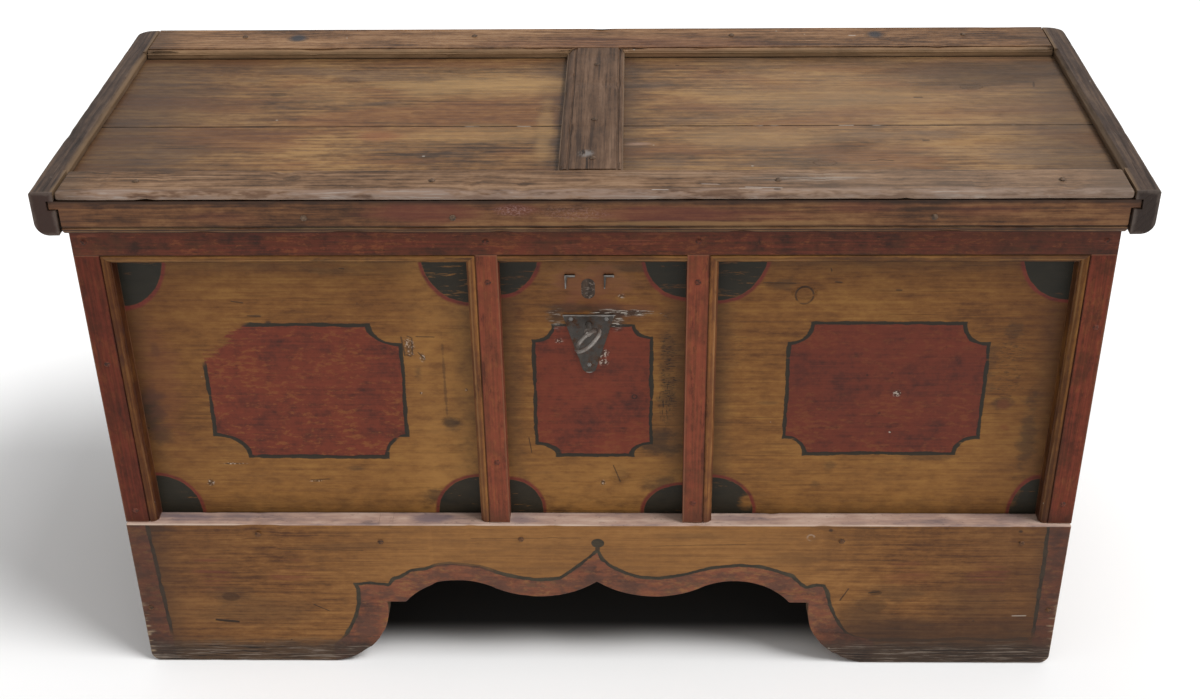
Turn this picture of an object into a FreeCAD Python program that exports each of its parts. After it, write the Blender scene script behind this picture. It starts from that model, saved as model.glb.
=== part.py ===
"""A painted pine blanket chest: dovetailed carcass on cut-out feet, lid between two grooved end
cleats on strap hinges, and a chest lock whose key throws a bolt through the lid's staple.

All sizes are millimetres.  +X is the chest's right as seen from the front, +Y runs from the front
to the back and +Z up.  The origin lies on the floor, under the middle of everything the chest
reaches: from the front of the key's bow to the back of the hinge knuckles.  In the comments, a
depth is counted from the front face of the plinth.
"""
import FreeCAD, Part
import math
import os
import re
import Sketcher

# Every size that can be set by itself: name in the sheet, value, meaning.
SIZES = (
    ("body_width", 1200, "carcass, outside, side to side"),
    ("carcass_depth", 490, "plinth's front face to the back boards' outer face"),
    ("rim_height", 668, "floor to the top edge of the carcass boards"),
    ("board_thickness", 22, "front, side and back boards"),
    ("board_bottom", 140, "floor to the lower edge of the front and back boards"),
    ("tail_count", 6, "dovetails along each corner"),
    ("tail_share", 0.55, "share of the pitch that a tail takes at its root"),
    ("tail_slope", 0.17, "sideways spread of a tail over its length"),
    ("joint_gap", 0.1, "play left in a glued or nailed joint"),
    ("bottom_thickness", 20, "bottom boards"),
    ("bottom_height", 150, "floor to the underside of the bottom boards"),
    ("dado_depth", 8, "groove in the side boards for the bottom"),
    ("bottom_joint", 209, "width of the front bottom board"),
    ("side_foot", 105, "length of each foot of a side board at the floor"),
    ("side_arch", 112, "rise of the arch between a side board's feet"),
    ("plinth_height", 230, "front plinth, floor to its top ledge"),
    ("plinth_thickness", 28, "front plinth"),
    ("plinth_corner", 13, "rounding of the plinth's worn lower corners"),
    ("foot_inner", 350, "middle of the chest to the foot of the scallop"),
    ("notch_outer", 275, "middle to the outer end of the scallop's notch"),
    ("notch_inner", 250, "middle to the inner end of the scallop's notch"),
    ("notch_height", 102, "floor to the notch"),
    ("crest_place", 190, "middle to the top of each arch"),
    ("crest_height", 137, "floor to the top of each arch"),
    ("turn_place", 131, "middle to where the arch turns into the lobe"),
    ("turn_height", 124.5, "floor to where the arch turns into the lobe"),
    ("lobe_place", 70, "middle to the low point of the lobe"),
    ("lobe_height", 111.5, "floor to the low point of the lobe"),
    ("cusp_height", 136.5, "floor to the point in the middle"),
    ("strip_thickness", 22.5, "rail, stiles and muntins on the front board"),
    ("rail_height", 53, "flat face of the top rail"),
    ("stile_flat", 29.5, "flat face of a stile"),
    ("muntin_place", 109.5, "middle of the chest to a muntin's plain edge"),
    ("muntin_flat", 25, "flat face of a muntin"),
    ("moulding_width", 11.5, "moulded edge of the front strips"),
    ("moulding_depth", 4.5, "drop of the moulded edge"),
    ("quirk_width", 1.6, "groove beside a moulding"),
    ("quirk_depth", 1.8, "depth of that groove"),
    ("list_width", 1.8, "flat that ends a moulding"),
    ("seat_gap", 0.3, "play between the closed lid and the carcass"),
    ("lid_thickness", 25, "lid boards"),
    ("lid_joint", 190.5, "width of the front lid board"),
    ("lid_overhang", 14, "nosing beyond the plinth's front face"),
    ("lid_strip", 12, "thickness of the strips on the lid"),
    ("front_strip_width", 60, "strip along the lid's front"),
    ("back_strip_width", 78, "strip along the lid's back, with its moulding"),
    ("back_moulding", 9, "moulded edge of the back strip"),
    ("centre_flat_left", 27, "middle to the left end of the centre strip's flat"),
    ("centre_flat_right", 28, "middle to the right end of the centre strip's flat"),
    ("centre_moulding_left", 13, "wide moulded edge of the centre strip"),
    ("centre_moulding_right", 8, "narrow moulded edge of the centre strip"),
    ("nosing_radius", 5, "rounding of the lid's front edge"),
    ("fascia_thickness", 13, "board under the nosing"),
    ("fascia_height", 43, "board under the nosing"),
    ("fascia_setback", 2.5, "nosing beyond the fascia"),
    ("fascia_moulding", 10, "moulded lower edge of the fascia"),
    ("fascia_gap", 2, "fascia's end to the cleat, below the tongue"),
    ("cleat_clearance", 3, "carcass side to the cleat"),
    ("cleat_thickness", 28, "end cleats"),
    ("cleat_height", 55, "end cleats"),
    ("cleat_round", 16.5, "lower outer edge of a cleat"),
    ("cleat_back_round", 21, "back corner of a cleat, seen from above"),
    ("cleat_chamfer", 5, "inner top edge of a cleat between the lid strips"),
    ("cleat_edge", 3, "outer top edge of a cleat"),
    ("tongue_thickness", 11, "tongue on the lid boards"),
    ("groove_depth", 9, "groove in the cleats"),
    ("shoulder_gap", 0.5, "lid boards' shoulders and tongues to the cleats"),
    ("hinge_place", 390, "middle of the chest to the middle of a hinge"),
    ("strap_width", 28, "hinge strap at its knuckle"),
    ("strap_tip", 17, "hinge strap at its tip"),
    ("strap_reach", 260, "hinge strap, back of the lid to its tip"),
    ("strap_thickness", 3, "hinge strap and leaf"),
    ("knuckle_radius", 6, "outside of a hinge knuckle"),
    ("leaf_knuckle", 13, "length of each of a leaf's two knuckles"),
    ("leaf_height", 95, "hinge leaf below the pin"),
    ("pin_radius", 3, "hinge pin"),
    ("pin_play", 0.05, "hinge pin to its knuckles"),
    ("pin_head", 4.2, "radius of a hinge pin's head"),
    ("pin_head_length", 1.2, "thickness of a hinge pin's head"),
    ("knuckle_play", 0.3, "between neighbouring knuckles"),
    ("lock_place", -6, "middle of the chest to the key's axis"),
    ("key_height", 510, "floor to the key's axis"),
    ("key_reach", 29, "front end of the key's bow beyond the plinth's front face"),
    ("key_rest", 50, "angle of the resting bit from upright, clockwise from the front"),
    ("shank_radius", 3.5, "key's shank"),
    ("bow_length", 36, "key's bow along the shank"),
    ("bow_width", 40, "key's bow across the shank"),
    ("bow_wire", 4.8, "thickness of the bow's bar"),
    ("bow_sides", 40, "straight stretches that the bow's oval is made of"),
    ("bit_radius", 17, "key's axis to the end of the bit"),
    ("bit_thickness", 3, "key's bit"),
    ("bit_length", 12, "key's bit along the shank"),
    ("keyhole_play", 0.6, "key to the sides of its holes"),
    ("bearing_play", 0.08, "key's tip to its hole in the lock case"),
    ("plate_width", 130, "lock plate"),
    ("plate_foot", 22, "lock plate below the key's axis"),
    ("plate_rim", 4, "carcass rim to the top of the lock plate"),
    ("plate_thickness", 2, "lock plate, lock case and escutcheon"),
    ("case_depth", 22, "inside of the lock case, front to back"),
    ("bolt_thickness", 5, "bolt, front to back"),
    ("bolt_lift", 6.5, "lock plate to the bolt"),
    ("bolt_play", 0.1, "bolt to its keepers"),
    ("bolt_travel", 25, "bolt between unlocked and locked"),
    ("key_turn", 95, "key between unlocked and locked, in degrees"),
    ("tail_rise", 11.5, "key's axis to the lower edge of the bolt's tail"),
    ("tail_bar", 13.5, "height of the bolt's tail"),
    ("tail_reach", 30, "bolt's tail to the left of the key's axis, unlocked"),
    ("riser_place", 38, "key's axis to the bolt's riser, unlocked"),
    ("riser_width", 12, "bolt's riser"),
    ("notch_width", 8, "notch in the bolt for the bit"),
    ("notch_depth", 7.5, "notch in the bolt for the bit"),
    ("head_height", 10, "bolt's head"),
    ("staple_place", -10, "key's axis to the middle of the lid's staple"),
    ("staple_bar", 5, "staple along the bolt's travel"),
    ("staple_leg", 4, "staple's legs"),
    ("staple_eye", 7, "staple's eye, front to back"),
    ("staple_eye_height", 14, "staple's eye, up and down"),
    ("staple_drop", 28, "lid's underside to the lower end of the staple"),
    ("staple_head", 3, "unlocked bolt to the staple"),
    ("keeper_width", 6, "bolt keepers along the travel"),
    ("keeper_wall", 3, "bolt keepers round the bolt"),
    ("slot_play", 2.5, "staple to the slot in the lock case"),
    ("escutcheon_width", 62, "escutcheon"),
    ("escutcheon_height", 81, "escutcheon"),
    ("escutcheon_top", 13, "key's axis to the escutcheon's top edge"),
    ("clinch_left", 26, "key's axis to the left clinched staple end"),
    ("clinch_right", 20, "key's axis to the right clinched staple end"),
    ("clinch_rise", 66, "key's axis up to the clinched staple ends"),
    ("clinch_radius", 2, "clinched staple ends"),
    ("clinch_length", 12, "sideways end of a clinched staple"),
    ("clinch_drop", 16, "hammered-down end of a clinched staple"),
    ("plug_radius", 8, "round ends of the wooden plug in the front board"),
    ("plug_height", 27, "plug from end to end"),
    ("plug_rise", 48, "key's axis up to the middle of the plug"),
    ("nail_shank", 3, "side of a nail's square shank at its head"),
    ("nail_point", 1, "side of a nail's square shank at its point"),
    ("nail_length", 34, "nail under its head"),
    ("nail_head", 4.2, "radius of a nail's head"),
    ("nail_dome", 1.6, "height of a nail's head"),
    ("small_nail", 0.7, "share of those widths that the ironwork's nails have"),
    ("small_nail_length", 15, "ironwork's nail under its head"),
)

# Formulas that several placements share, written with the names of the sheet.
HINGE_REACH = "(2 * knuckle_radius + seat_gap)"
FRONT = "((key_reach - " + HINGE_REACH + " - carcass_depth) / 2)"
BACK = "(" + FRONT + " + carcass_depth)"
BOARD_FACE = "(" + FRONT + " + plinth_thickness)"
STRIP_FACE = "(" + BOARD_FACE + " - strip_thickness)"
UNDERSIDE = "(rim_height + seat_gap)"
LID_TOP = "(rim_height + seat_gap + lid_thickness)"
NOSING = "(" + FRONT + " - lid_overhang)"
STRIP_FOOT = "(rim_height - rail_height)"
BOARD_HEIGHT = "(rim_height - board_bottom)"
CLEAT_FACE = "(body_width / 2 + cleat_clearance)"

NORMAL = {"XY_Plane": 1, "XZ_Plane": -1, "YZ_Plane": 1}

doc = FreeCAD.newDocument("blanket_chest")


def make_sheet():
    """The spreadsheet with the driving sizes, and the same sizes as plain numbers."""
    sheet = doc.addObject("Spreadsheet::Sheet", "Sizes")
    for row, (alias, value, meaning) in enumerate(SIZES, start=1):
        sheet.set("A%d" % row, meaning)
        sheet.set("B%d" % row, str(value))
        sheet.setAlias("B%d" % row, alias)
    doc.recompute()
    return {alias: float(sheet.get(alias)) for alias, _, _ in SIZES}


class Numbers:
    """The sheet's sizes as attributes, with the planes and lines that follow from them."""

    def __init__(self, sizes):
        self.__dict__.update(sizes)
        self.half = self.body_width / 2
        self.hinge_reach = 2 * self.knuckle_radius + self.seat_gap
        self.front = (self.key_reach - self.hinge_reach - self.carcass_depth) / 2
        self.back = self.front + self.carcass_depth
        self.board_face = self.front + self.plinth_thickness
        self.strip_face = self.board_face - self.strip_thickness
        self.board_back = self.board_face + self.board_thickness
        self.board_height = self.rim_height - self.board_bottom
        self.strip_foot = self.rim_height - self.rail_height
        self.underside = self.rim_height + self.seat_gap
        self.lid_top = self.underside + self.lid_thickness
        self.nosing = self.front - self.lid_overhang
        self.cleat_face = self.half + self.cleat_clearance
        self.tongue_end = self.cleat_face + self.groove_depth - self.shoulder_gap
        self.pitch = self.board_height / self.tail_count
        self.side_depth = self.carcass_depth - self.plinth_thickness
        self.plate_bottom = self.key_height - self.plate_foot
        self.plate_top = self.rim_height - self.plate_rim
        self.plate_back = self.board_back + self.plate_thickness
        self.case_back = self.plate_back + self.case_depth + self.plate_thickness
        self.bolt_front = self.plate_back + self.bolt_lift
        self.bolt_middle = self.bolt_front + self.bolt_thickness / 2
        self.eye_low = self.underside - self.staple_drop + self.staple_leg
        self.head_low = self.eye_low + (self.staple_eye_height - self.head_height) / 2
        self.staple_x = self.lock_place + self.staple_place
        self.axis_y = self.back + self.knuckle_radius + self.seat_gap
        self.axis_z = self.underside - self.knuckle_radius


d = Numbers(make_sheet())
finished = []


def cells(formula):
    """A formula with each name written as the sheet's cell."""
    return re.sub(r"[a-z]\w+", lambda name: "Sizes." + name.group(0), formula)


def place(piece, x="0", y="0", z="0"):
    """Binds the place of a sub-part to the sheet."""
    for axis, formula in (("x", x), ("y", y), ("z", z)):
        piece.setExpression("Placement.Base." + axis, cells(formula))


def new_body(label, x="0", y="0", z="0"):
    """An empty PartDesign body, listed as a finished sub-part."""
    body = doc.addObject("PartDesign::Body", label)
    body.Label = label
    place(body, x, y, z)
    finished.append(body)
    return body


class Outline:
    """A closed line of straight and round stretches in a sketch's own two directions."""

    def __init__(self, x, y, turn=None):
        self.turn = turn or (lambda u, v: (u, v))
        self.start = self.point(x, y)
        self.last = self.start
        self.edges = []

    def point(self, x, y):
        u, v = self.turn(x, y)
        return FreeCAD.Vector(u, v, 0)

    def line(self, x, y):
        end = self.point(x, y)
        if end.distanceToPoint(self.last) > 1e-6:
            self.edges.append(Part.LineSegment(self.last, end))
            self.last = end
        return self

    def lines(self, points):
        for x, y in points:
            self.line(x, y)
        return self

    def arc(self, middle_x, middle_y, x, y):
        end = self.point(x, y)
        self.edges.append(Part.Arc(self.last, self.point(middle_x, middle_y), end))
        self.last = end
        return self

    def round(self, centre_x, centre_y, x, y):
        """A quarter round about a centre, to the given end."""
        end = self.point(x, y)
        centre = self.point(centre_x, centre_y)
        radius = end.distanceToPoint(centre)
        outwards = (self.last - centre) + (end - centre)
        middle = centre + outwards.normalize() * radius
        self.edges.append(Part.Arc(self.last, middle, end))
        self.last = end
        return self

    def close(self):
        if self.start.distanceToPoint(self.last) > 1e-6:
            self.edges.append(Part.LineSegment(self.last, self.start))
        return self.edges


def polygon(points, turn=None):
    """The edges of a closed straight-sided outline."""
    (x, y), *rest = points
    return Outline(x, y, turn).lines(rest).close()


def circle(x, y, radius):
    """A full circle in a sketch."""
    return [Part.Circle(FreeCAD.Vector(x, y, 0), FreeCAD.Vector(0, 0, 1), radius)]


def sketch(body, plane, edges, offset="0"):
    """A sketch on one of the body's origin planes, moved along the plane's axis by a formula."""
    drawing = body.newObject("Sketcher::SketchObject", body.Name + "_sketch")
    support = [f for f in body.Origin.OriginFeatures if f.Role == plane][0]
    drawing.AttachmentSupport = (support, [""])
    drawing.MapMode = "FlatFace"
    sign = "" if NORMAL[plane] > 0 else "-"
    drawing.setExpression("AttachmentOffset.Base.z", cells(sign + "(" + offset + ")"))
    drawing.addGeometry(edges, False)
    return drawing


def rectangle(body, plane, width, height):
    """A rectangle from the body's origin whose two sides are bound to the sheet."""
    drawing = sketch(body, plane, polygon(((0, 0), (50, 0), (50, 40), (0, 40))))
    for line in range(4):
        after = (line + 1) % 4
        drawing.addConstraint(Sketcher.Constraint("Coincident", line, 2, after, 1))
    for line, direction in enumerate(("Horizontal", "Vertical", "Horizontal", "Vertical")):
        drawing.addConstraint(Sketcher.Constraint(direction, line))
    drawing.addConstraint(Sketcher.Constraint("Coincident", 0, 1, -1, 1))
    for name, line, formula in (("Distance", 0, width), ("Distance", 1, height)):
        index = drawing.addConstraint(Sketcher.Constraint(name, line, 50.0))
        drawing.setExpression("Constraints[%d]" % index, cells(formula))
    return drawing


def extrude(body, drawing, length, cut=False, forward=True):
    """A pad or pocket along the positive axis of its sketch's plane, or the other way."""
    kind = "Pocket" if cut else "Pad"
    feature = body.newObject("PartDesign::" + kind, body.Name + "_" + kind.lower())
    feature.Profile = drawing
    feature.setExpression("Length", cells(length))
    along_normal = (NORMAL[drawing.AttachmentSupport[0][0].Role] > 0) == forward
    feature.Reversed = along_normal == cut
    return feature


def pad(body, plane, edges, length, offset="0"):
    """Adds a solid along the plane's positive axis."""
    return extrude(body, sketch(body, plane, edges, offset), length)


def pocket(body, plane, edges, length, offset="0", forward=True):
    """Cuts along the plane's axis and makes sure that it did cut."""
    doc.recompute()
    before = body.Shape.Volume
    extrude(body, sketch(body, plane, edges, offset), length, cut=True, forward=forward)
    doc.recompute()
    if not body.Shape.Volume < before - 1e-6:
        raise ValueError("a pocket in " + body.Label + " cuts nothing")


def board(label, length, width, height, x, y, z):
    """A plain board: its face is the sketch and its thickness the pad."""
    body = new_body(label, x, y, z)
    extrude(body, rectangle(body, "XZ_Plane", length, height), width)
    doc.recompute()
    return body


# ---------------------------------------------------------------- carcass boards


def tail_outlines(count, outer_first, play=0.0):
    """Dovetails side by side, as outlines across a board of the corner's thickness.

    Each is widest at the outside of the corner.  They start at the lower end of the joint.
    """
    root = d.pitch * d.tail_share / 2 + play
    tip = root + d.tail_slope * d.board_thickness
    first, last = (tip, root) if outer_first else (root, tip)
    tails = []
    for index in range(int(count)):
        middle = (index + 0.5) * d.pitch
        tails.append(((0, middle - first), (0, middle + first),
                      (d.board_thickness, middle + last), (d.board_thickness, middle - last)))
    return tails


def cut_sockets(body, count, outer_first):
    """The sockets at both ends of a board that take the side boards' dovetails."""
    sockets = [edge for tail in tail_outlines(count, outer_first, d.joint_gap) for edge in polygon(tail)]
    pocket(body, "YZ_Plane", sockets, "board_thickness + joint_gap")
    pocket(body, "YZ_Plane", sockets, "board_thickness + joint_gap", "body_width", forward=False)


def keyhole(x, z, radius, slot):
    """A round hole with a slot below it that lets the bit through."""
    half = d.bit_thickness / 2 + d.keyhole_play
    shoulder = math.sqrt(radius**2 - half**2)
    drawing = Outline(x - half, z - shoulder)
    drawing.arc(x, z + radius, x + half, z - shoulder)
    drawing.lines(((x + half, z - slot), (x - half, z - slot)))
    return drawing.close()


def key_opening(x, z):
    """The keyhole for this key."""
    return keyhole(x, z, d.shank_radius + d.keyhole_play, d.bit_radius + d.keyhole_play)


def clinch_holes(x, z):
    """The holes of the lock's two staple ends, placed from the key's axis."""
    holes = []
    for along in (-d.clinch_left, d.clinch_right):
        holes += circle(x + along, z + d.clinch_rise, d.clinch_radius + d.joint_gap)
    return holes


def plug_outline(x, z, play=0.0):
    """The upright plug with its two round ends, about its middle."""
    radius = d.plug_radius + play
    straight = d.plug_height / 2 - d.plug_radius
    outline = Outline(x - radius, z - straight)
    outline.arc(x, z - straight - radius, x + radius, z - straight)
    outline.line(x + radius, z + straight)
    outline.arc(x, z + straight + radius, x - radius, z + straight)
    return outline.close()


def front_board():
    """The wide front board with sockets, keyhole, plug hole and the holes of two staples."""
    body = board("front_board", "body_width", "board_thickness", BOARD_HEIGHT,
                 "-body_width / 2", BOARD_FACE, "board_bottom")
    cut_sockets(body, d.tail_count, outer_first=True)
    key_x = d.half + d.lock_place
    key_z = d.key_height - d.board_bottom
    holes = key_opening(key_x, key_z)
    holes += plug_outline(key_x, key_z + d.plug_rise, d.joint_gap)
    holes += clinch_holes(key_x, key_z)
    pocket(body, "XZ_Plane", holes, "board_thickness")


def back_plank(label, count, first):
    """One of the two back boards, each with its share of the dovetails and hinge notches."""
    height = BOARD_HEIGHT + " * %d / tail_count" % count
    low = "board_bottom + " + BOARD_HEIGHT + " * %d / tail_count" % first
    body = board(label, "body_width", "board_thickness", height,
                 "-body_width / 2", BACK + " - board_thickness", low)
    cut_sockets(body, count, outer_first=False)
    if first:
        top = d.pitch * count
        for side in (-1, 1):
            middle = d.half + side * d.hinge_place
            reach = d.strap_width / 2 + 3 * d.seat_gap
            notch = polygon(((middle - reach, top + 1), (middle + reach, top + 1),
                             (middle + reach, top - d.strap_thickness),
                             (middle - reach, top - d.strap_thickness)))
            pocket(body, "XZ_Plane", notch, "board_thickness")


def side_board(label, x, dado_x):
    """A side board: tails at both edges, an arch between two feet, a dado for the bottom."""
    depth = d.side_depth
    tails = tail_outlines(d.tail_count, outer_first=True)
    outline = Outline(0, 0)
    outline.line(0, d.board_bottom)
    outline.line(d.board_thickness, d.board_bottom)
    for outer_low, outer_high, root_high, root_low in tails:
        for y, z in (root_low, outer_low, outer_high, root_high):
            outline.line(y, d.board_bottom + z)
    outline.line(d.board_thickness, d.rim_height)
    outline.line(depth - d.board_thickness, d.rim_height)
    for outer_low, outer_high, root_high, root_low in reversed(tails):
        for y, z in (root_high, outer_high, outer_low, root_low):
            outline.line(depth - y, d.board_bottom + z)
    outline.line(depth - d.board_thickness, d.board_bottom)
    outline.line(depth, d.board_bottom)
    outline.line(depth, 0)
    outline.line(depth - d.side_foot, 0)
    outline.arc(depth / 2, d.side_arch, d.side_foot, 0)
    body = new_body(label, x, BOARD_FACE, "0")
    pad(body, "YZ_Plane", outline.close(), "board_thickness")
    dado = polygon(((d.board_thickness, d.bottom_height - d.joint_gap),
                    (depth - d.board_thickness, d.bottom_height - d.joint_gap),
                    (depth - d.board_thickness, d.bottom_height + d.bottom_thickness + d.joint_gap),
                    (d.board_thickness, d.bottom_height + d.bottom_thickness + d.joint_gap)))
    pocket(body, "YZ_Plane", dado, "dado_depth", dado_x)


def bottom_boards():
    """Two boards lie side by side in the dados."""
    length = "body_width - 2 * board_thickness + 2 * dado_depth - 2 * joint_gap"
    left = "-body_width / 2 + board_thickness - dado_depth + joint_gap"
    start = BOARD_FACE + " + board_thickness"
    whole = "(carcass_depth - plinth_thickness - 2 * board_thickness)"
    board("bottom_front_board", length, "bottom_joint - joint_gap", "bottom_thickness",
          left, start, "bottom_height")
    board("bottom_back_board", length, whole + " - bottom_joint", "bottom_thickness",
          left, start + " + bottom_joint", "bottom_height")


def front_plinth():
    """The scalloped plinth board: round-topped feet, a notch, two arches and a middle point."""
    body = new_body("front_plinth", y=FRONT)
    corner = d.plinth_corner
    outline = Outline(0, d.cusp_height)
    outline.arc(d.lobe_place, d.lobe_height, d.turn_place, d.turn_height)
    outline.arc(d.crest_place, d.crest_height, d.notch_inner, d.notch_height)
    outline.line(d.notch_outer, d.notch_height)
    bulge = math.sqrt(0.5)
    foot_x = d.foot_inner - (d.foot_inner - d.notch_outer) * bulge
    foot_z = d.notch_height * (1 - bulge)
    outline.arc(foot_x, foot_z, d.foot_inner, 0)
    outline.line(d.half - corner, 0)
    outline.round(d.half - corner, corner, d.half, corner)
    outline.lines(((d.half, d.plinth_height), (-d.half, d.plinth_height), (-d.half, corner)))
    outline.round(-d.half + corner, corner, -d.half + corner, 0)
    outline.line(-d.foot_inner, 0)
    outline.arc(-foot_x, foot_z, -d.notch_outer, d.notch_height)
    outline.line(-d.notch_inner, d.notch_height)
    outline.arc(-d.crest_place, d.crest_height, -d.turn_place, d.turn_height)
    outline.arc(-d.lobe_place, d.lobe_height, 0, d.cusp_height)
    pad(body, "XZ_Plane", outline.close(), "plinth_thickness")


# ---------------------------------------------------------------- front strips


def moulded_profile(flat, width, drop, thickness, turn, rim=0.0):
    """A strip's section: u runs across its face and v from the face to its back.

    The flat ends in a quirk, then an ovolo falls to a narrow list at the strip's edge.
    """
    outline = Outline(rim, thickness, turn)
    outline.line(rim, 0)
    outline.lines(((flat, 0), (flat, d.quirk_depth)))
    start = flat + d.quirk_width
    end = flat + width - d.list_width
    high = d.quirk_depth / 4
    low = drop - d.quirk_depth / 2
    outline.line(start, d.quirk_depth)
    outline.line(start, high)
    outline.arc((start + end) / 2 + width / 10, (high + low) / 2 - drop / 5, end, low)
    outline.lines(((end, drop), (flat + width, drop), (flat + width, thickness)))
    return outline.close()


def front_top_rail():
    """The rail over the stiles and muntins; its moulding is mitred round each of them."""
    body = new_body("front_top_rail", "-body_width / 2", STRIP_FACE)
    section = moulded_profile(d.rail_height, d.moulding_width, d.moulding_depth, d.strip_thickness,
                              lambda u, v: (v, d.rim_height - u))
    pad(body, "YZ_Plane", section, "body_width")
    low = d.strip_foot - d.moulding_width
    stile = d.half - d.stile_flat
    inner, outer = d.muntin_place, d.muntin_place + d.muntin_flat
    openings = ((stile, stile - d.moulding_width, d.half + 1, d.half + 1),
                (outer, outer + d.moulding_width, inner, inner))
    coped = []
    for high_end, low_end, high_far, low_far in openings:
        for side in (-1, 1):
            points = ((side * high_end, d.strip_foot), (side * low_end, low),
                      (side * low_end, low - 1), (side * low_far, low - 1),
                      (side * high_far, d.strip_foot))
            coped += polygon([(x + d.half, z) for x, z in points])
    pocket(body, "XZ_Plane", coped, "strip_thickness")


def front_upright(label, side, plain, flat):
    """A stile or muntin: plain edge at one side, mitred moulding at the other.

    side is 1 where the moulding lies further along +X than the flat, else -1.
    """
    body = new_body(label, y=STRIP_FACE)
    section = moulded_profile(flat, d.moulding_width, d.moulding_depth, d.strip_thickness,
                              lambda u, v: (plain + side * u, v))
    pad(body, "XY_Plane", section, STRIP_FOOT + " - plinth_height", "plinth_height")
    edge = plain + side * flat
    inner = edge + side * d.moulding_width
    mitre = polygon(((edge, d.strip_foot), (inner, d.strip_foot - d.moulding_width),
                     (inner + side, d.strip_foot - d.moulding_width),
                     (inner + side, d.strip_foot + 1), (edge, d.strip_foot + 1)))
    pocket(body, "XZ_Plane", mitre, "strip_thickness")


# ---------------------------------------------------------------- lid


def cut_tongues(body, low, high, face):
    """Leaves a tongue at each end of a lid board: cuts what lies below it."""
    for side in (-1, 1):
        points = ((side * face, low - 1), (side * (d.tongue_end + 1), low - 1),
                  (side * (d.tongue_end + 1), high), (side * face, high))
        pocket(body, "XZ_Plane", polygon(points), "carcass_depth")


def lid_board(label, width, y):
    """A full-length lid board with a tongue at each end, flush with its top."""
    body = new_body(label, y=y)
    end = d.tongue_end
    whole = polygon(((-end, d.underside), (end, d.underside), (end, d.lid_top), (-end, d.lid_top)))
    pad(body, "XZ_Plane", whole, width)
    doc.recompute()
    cut_tongues(body, d.underside, d.lid_top - d.tongue_thickness, d.cleat_face - d.shoulder_gap)


def lid_front_strip():
    """The strip along the front, its nosing rounded."""
    body = new_body("lid_front_strip", "-(" + CLEAT_FACE + " - shoulder_gap)", NOSING, LID_TOP)
    radius = d.nosing_radius
    outline = Outline(radius, 0)
    outline.lines(((d.front_strip_width, 0), (d.front_strip_width, d.lid_strip), (radius, d.lid_strip)))
    outline.round(radius, d.lid_strip - radius, 0, d.lid_strip - radius)
    outline.line(0, radius)
    outline.round(radius, radius, radius, 0)
    pad(body, "YZ_Plane", outline.close(), "2 * (" + CLEAT_FACE + " - shoulder_gap)")


def lid_back_strip():
    """The strip along the back; its moulding is mitred round the centre strip."""
    body = new_body("lid_back_strip", "-(" + CLEAT_FACE + " - shoulder_gap)", BACK, LID_TOP)
    flat = d.back_strip_width - d.back_moulding
    section = moulded_profile(flat, d.back_moulding, d.moulding_depth, d.lid_strip,
                              lambda u, v: (-u, d.lid_strip - v))
    pad(body, "YZ_Plane", section, "2 * (" + CLEAT_FACE + " - shoulder_gap)")
    start = d.cleat_face - d.shoulder_gap
    left, right = start - d.centre_flat_left, start + d.centre_flat_right
    cope = polygon(((left - d.centre_moulding_left, -d.back_strip_width - 1),
                    (left - d.centre_moulding_left, -d.back_strip_width), (left, -flat),
                    (right, -flat), (right + d.centre_moulding_right, -d.back_strip_width),
                    (right + d.centre_moulding_right, -d.back_strip_width - 1)))
    pocket(body, "XY_Plane", cope, "lid_strip")


def lid_centre_strip():
    """The strip across the middle, moulded at both edges and mitred into the back strip."""
    start = NOSING + " + front_strip_width + joint_gap"
    body = new_body("lid_centre_strip", y=start, z=LID_TOP)
    left, right = d.centre_flat_left, d.centre_flat_right
    left_edge = moulded_profile(left, d.centre_moulding_left, d.moulding_depth, d.lid_strip,
                                lambda u, v: (-u, d.lid_strip - v), rim=-right / 2)
    length = ("carcass_depth - back_strip_width + back_moulding"
              " + lid_overhang - front_strip_width - 2 * joint_gap")
    pad(body, "XZ_Plane", left_edge, length)
    right_edge = moulded_profile(right, d.centre_moulding_right, d.moulding_depth * 0.8, d.lid_strip,
                                 lambda u, v: (u, d.lid_strip - v))
    pad(body, "XZ_Plane", right_edge, length)
    doc.recompute()
    whole = (d.carcass_depth - d.back_strip_width + d.back_moulding + d.lid_overhang
             - d.front_strip_width - 2 * d.joint_gap)
    mitres = []
    for side, flat, width in ((-1, left, d.centre_moulding_left), (1, right, d.centre_moulding_right)):
        mitres += polygon(((side * flat, whole), (side * (flat + width), whole - d.back_moulding),
                           (side * (flat + width + 1), whole - d.back_moulding),
                           (side * (flat + width + 1), whole + 1), (side * flat, whole + 1)))
    pocket(body, "XY_Plane", mitres, "lid_strip")


def lid_fascia():
    """The board under the nosing: a moulded lower edge, and tongues that show in the cleats."""
    body = new_body("lid_fascia", "-(" + CLEAT_FACE + " + groove_depth - shoulder_gap)",
                    NOSING + " + fascia_setback", LID_TOP)
    section = moulded_profile(d.fascia_height - d.fascia_moulding, d.fascia_moulding,
                              d.moulding_depth, d.fascia_thickness, lambda u, v: (v, -u))
    pad(body, "YZ_Plane", section, "2 * (" + CLEAT_FACE + " + groove_depth - shoulder_gap)")
    doc.recompute()
    end = 2 * d.tongue_end
    shoulder = d.groove_depth - d.shoulder_gap + d.fascia_gap
    for start, stop in ((-1, shoulder), (end - shoulder, end + 1)):
        below = polygon(((start, -d.fascia_height - 1), (stop, -d.fascia_height - 1),
                         (stop, -d.tongue_thickness), (start, -d.tongue_thickness)))
        pocket(body, "XZ_Plane", below, "fascia_thickness")


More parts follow.
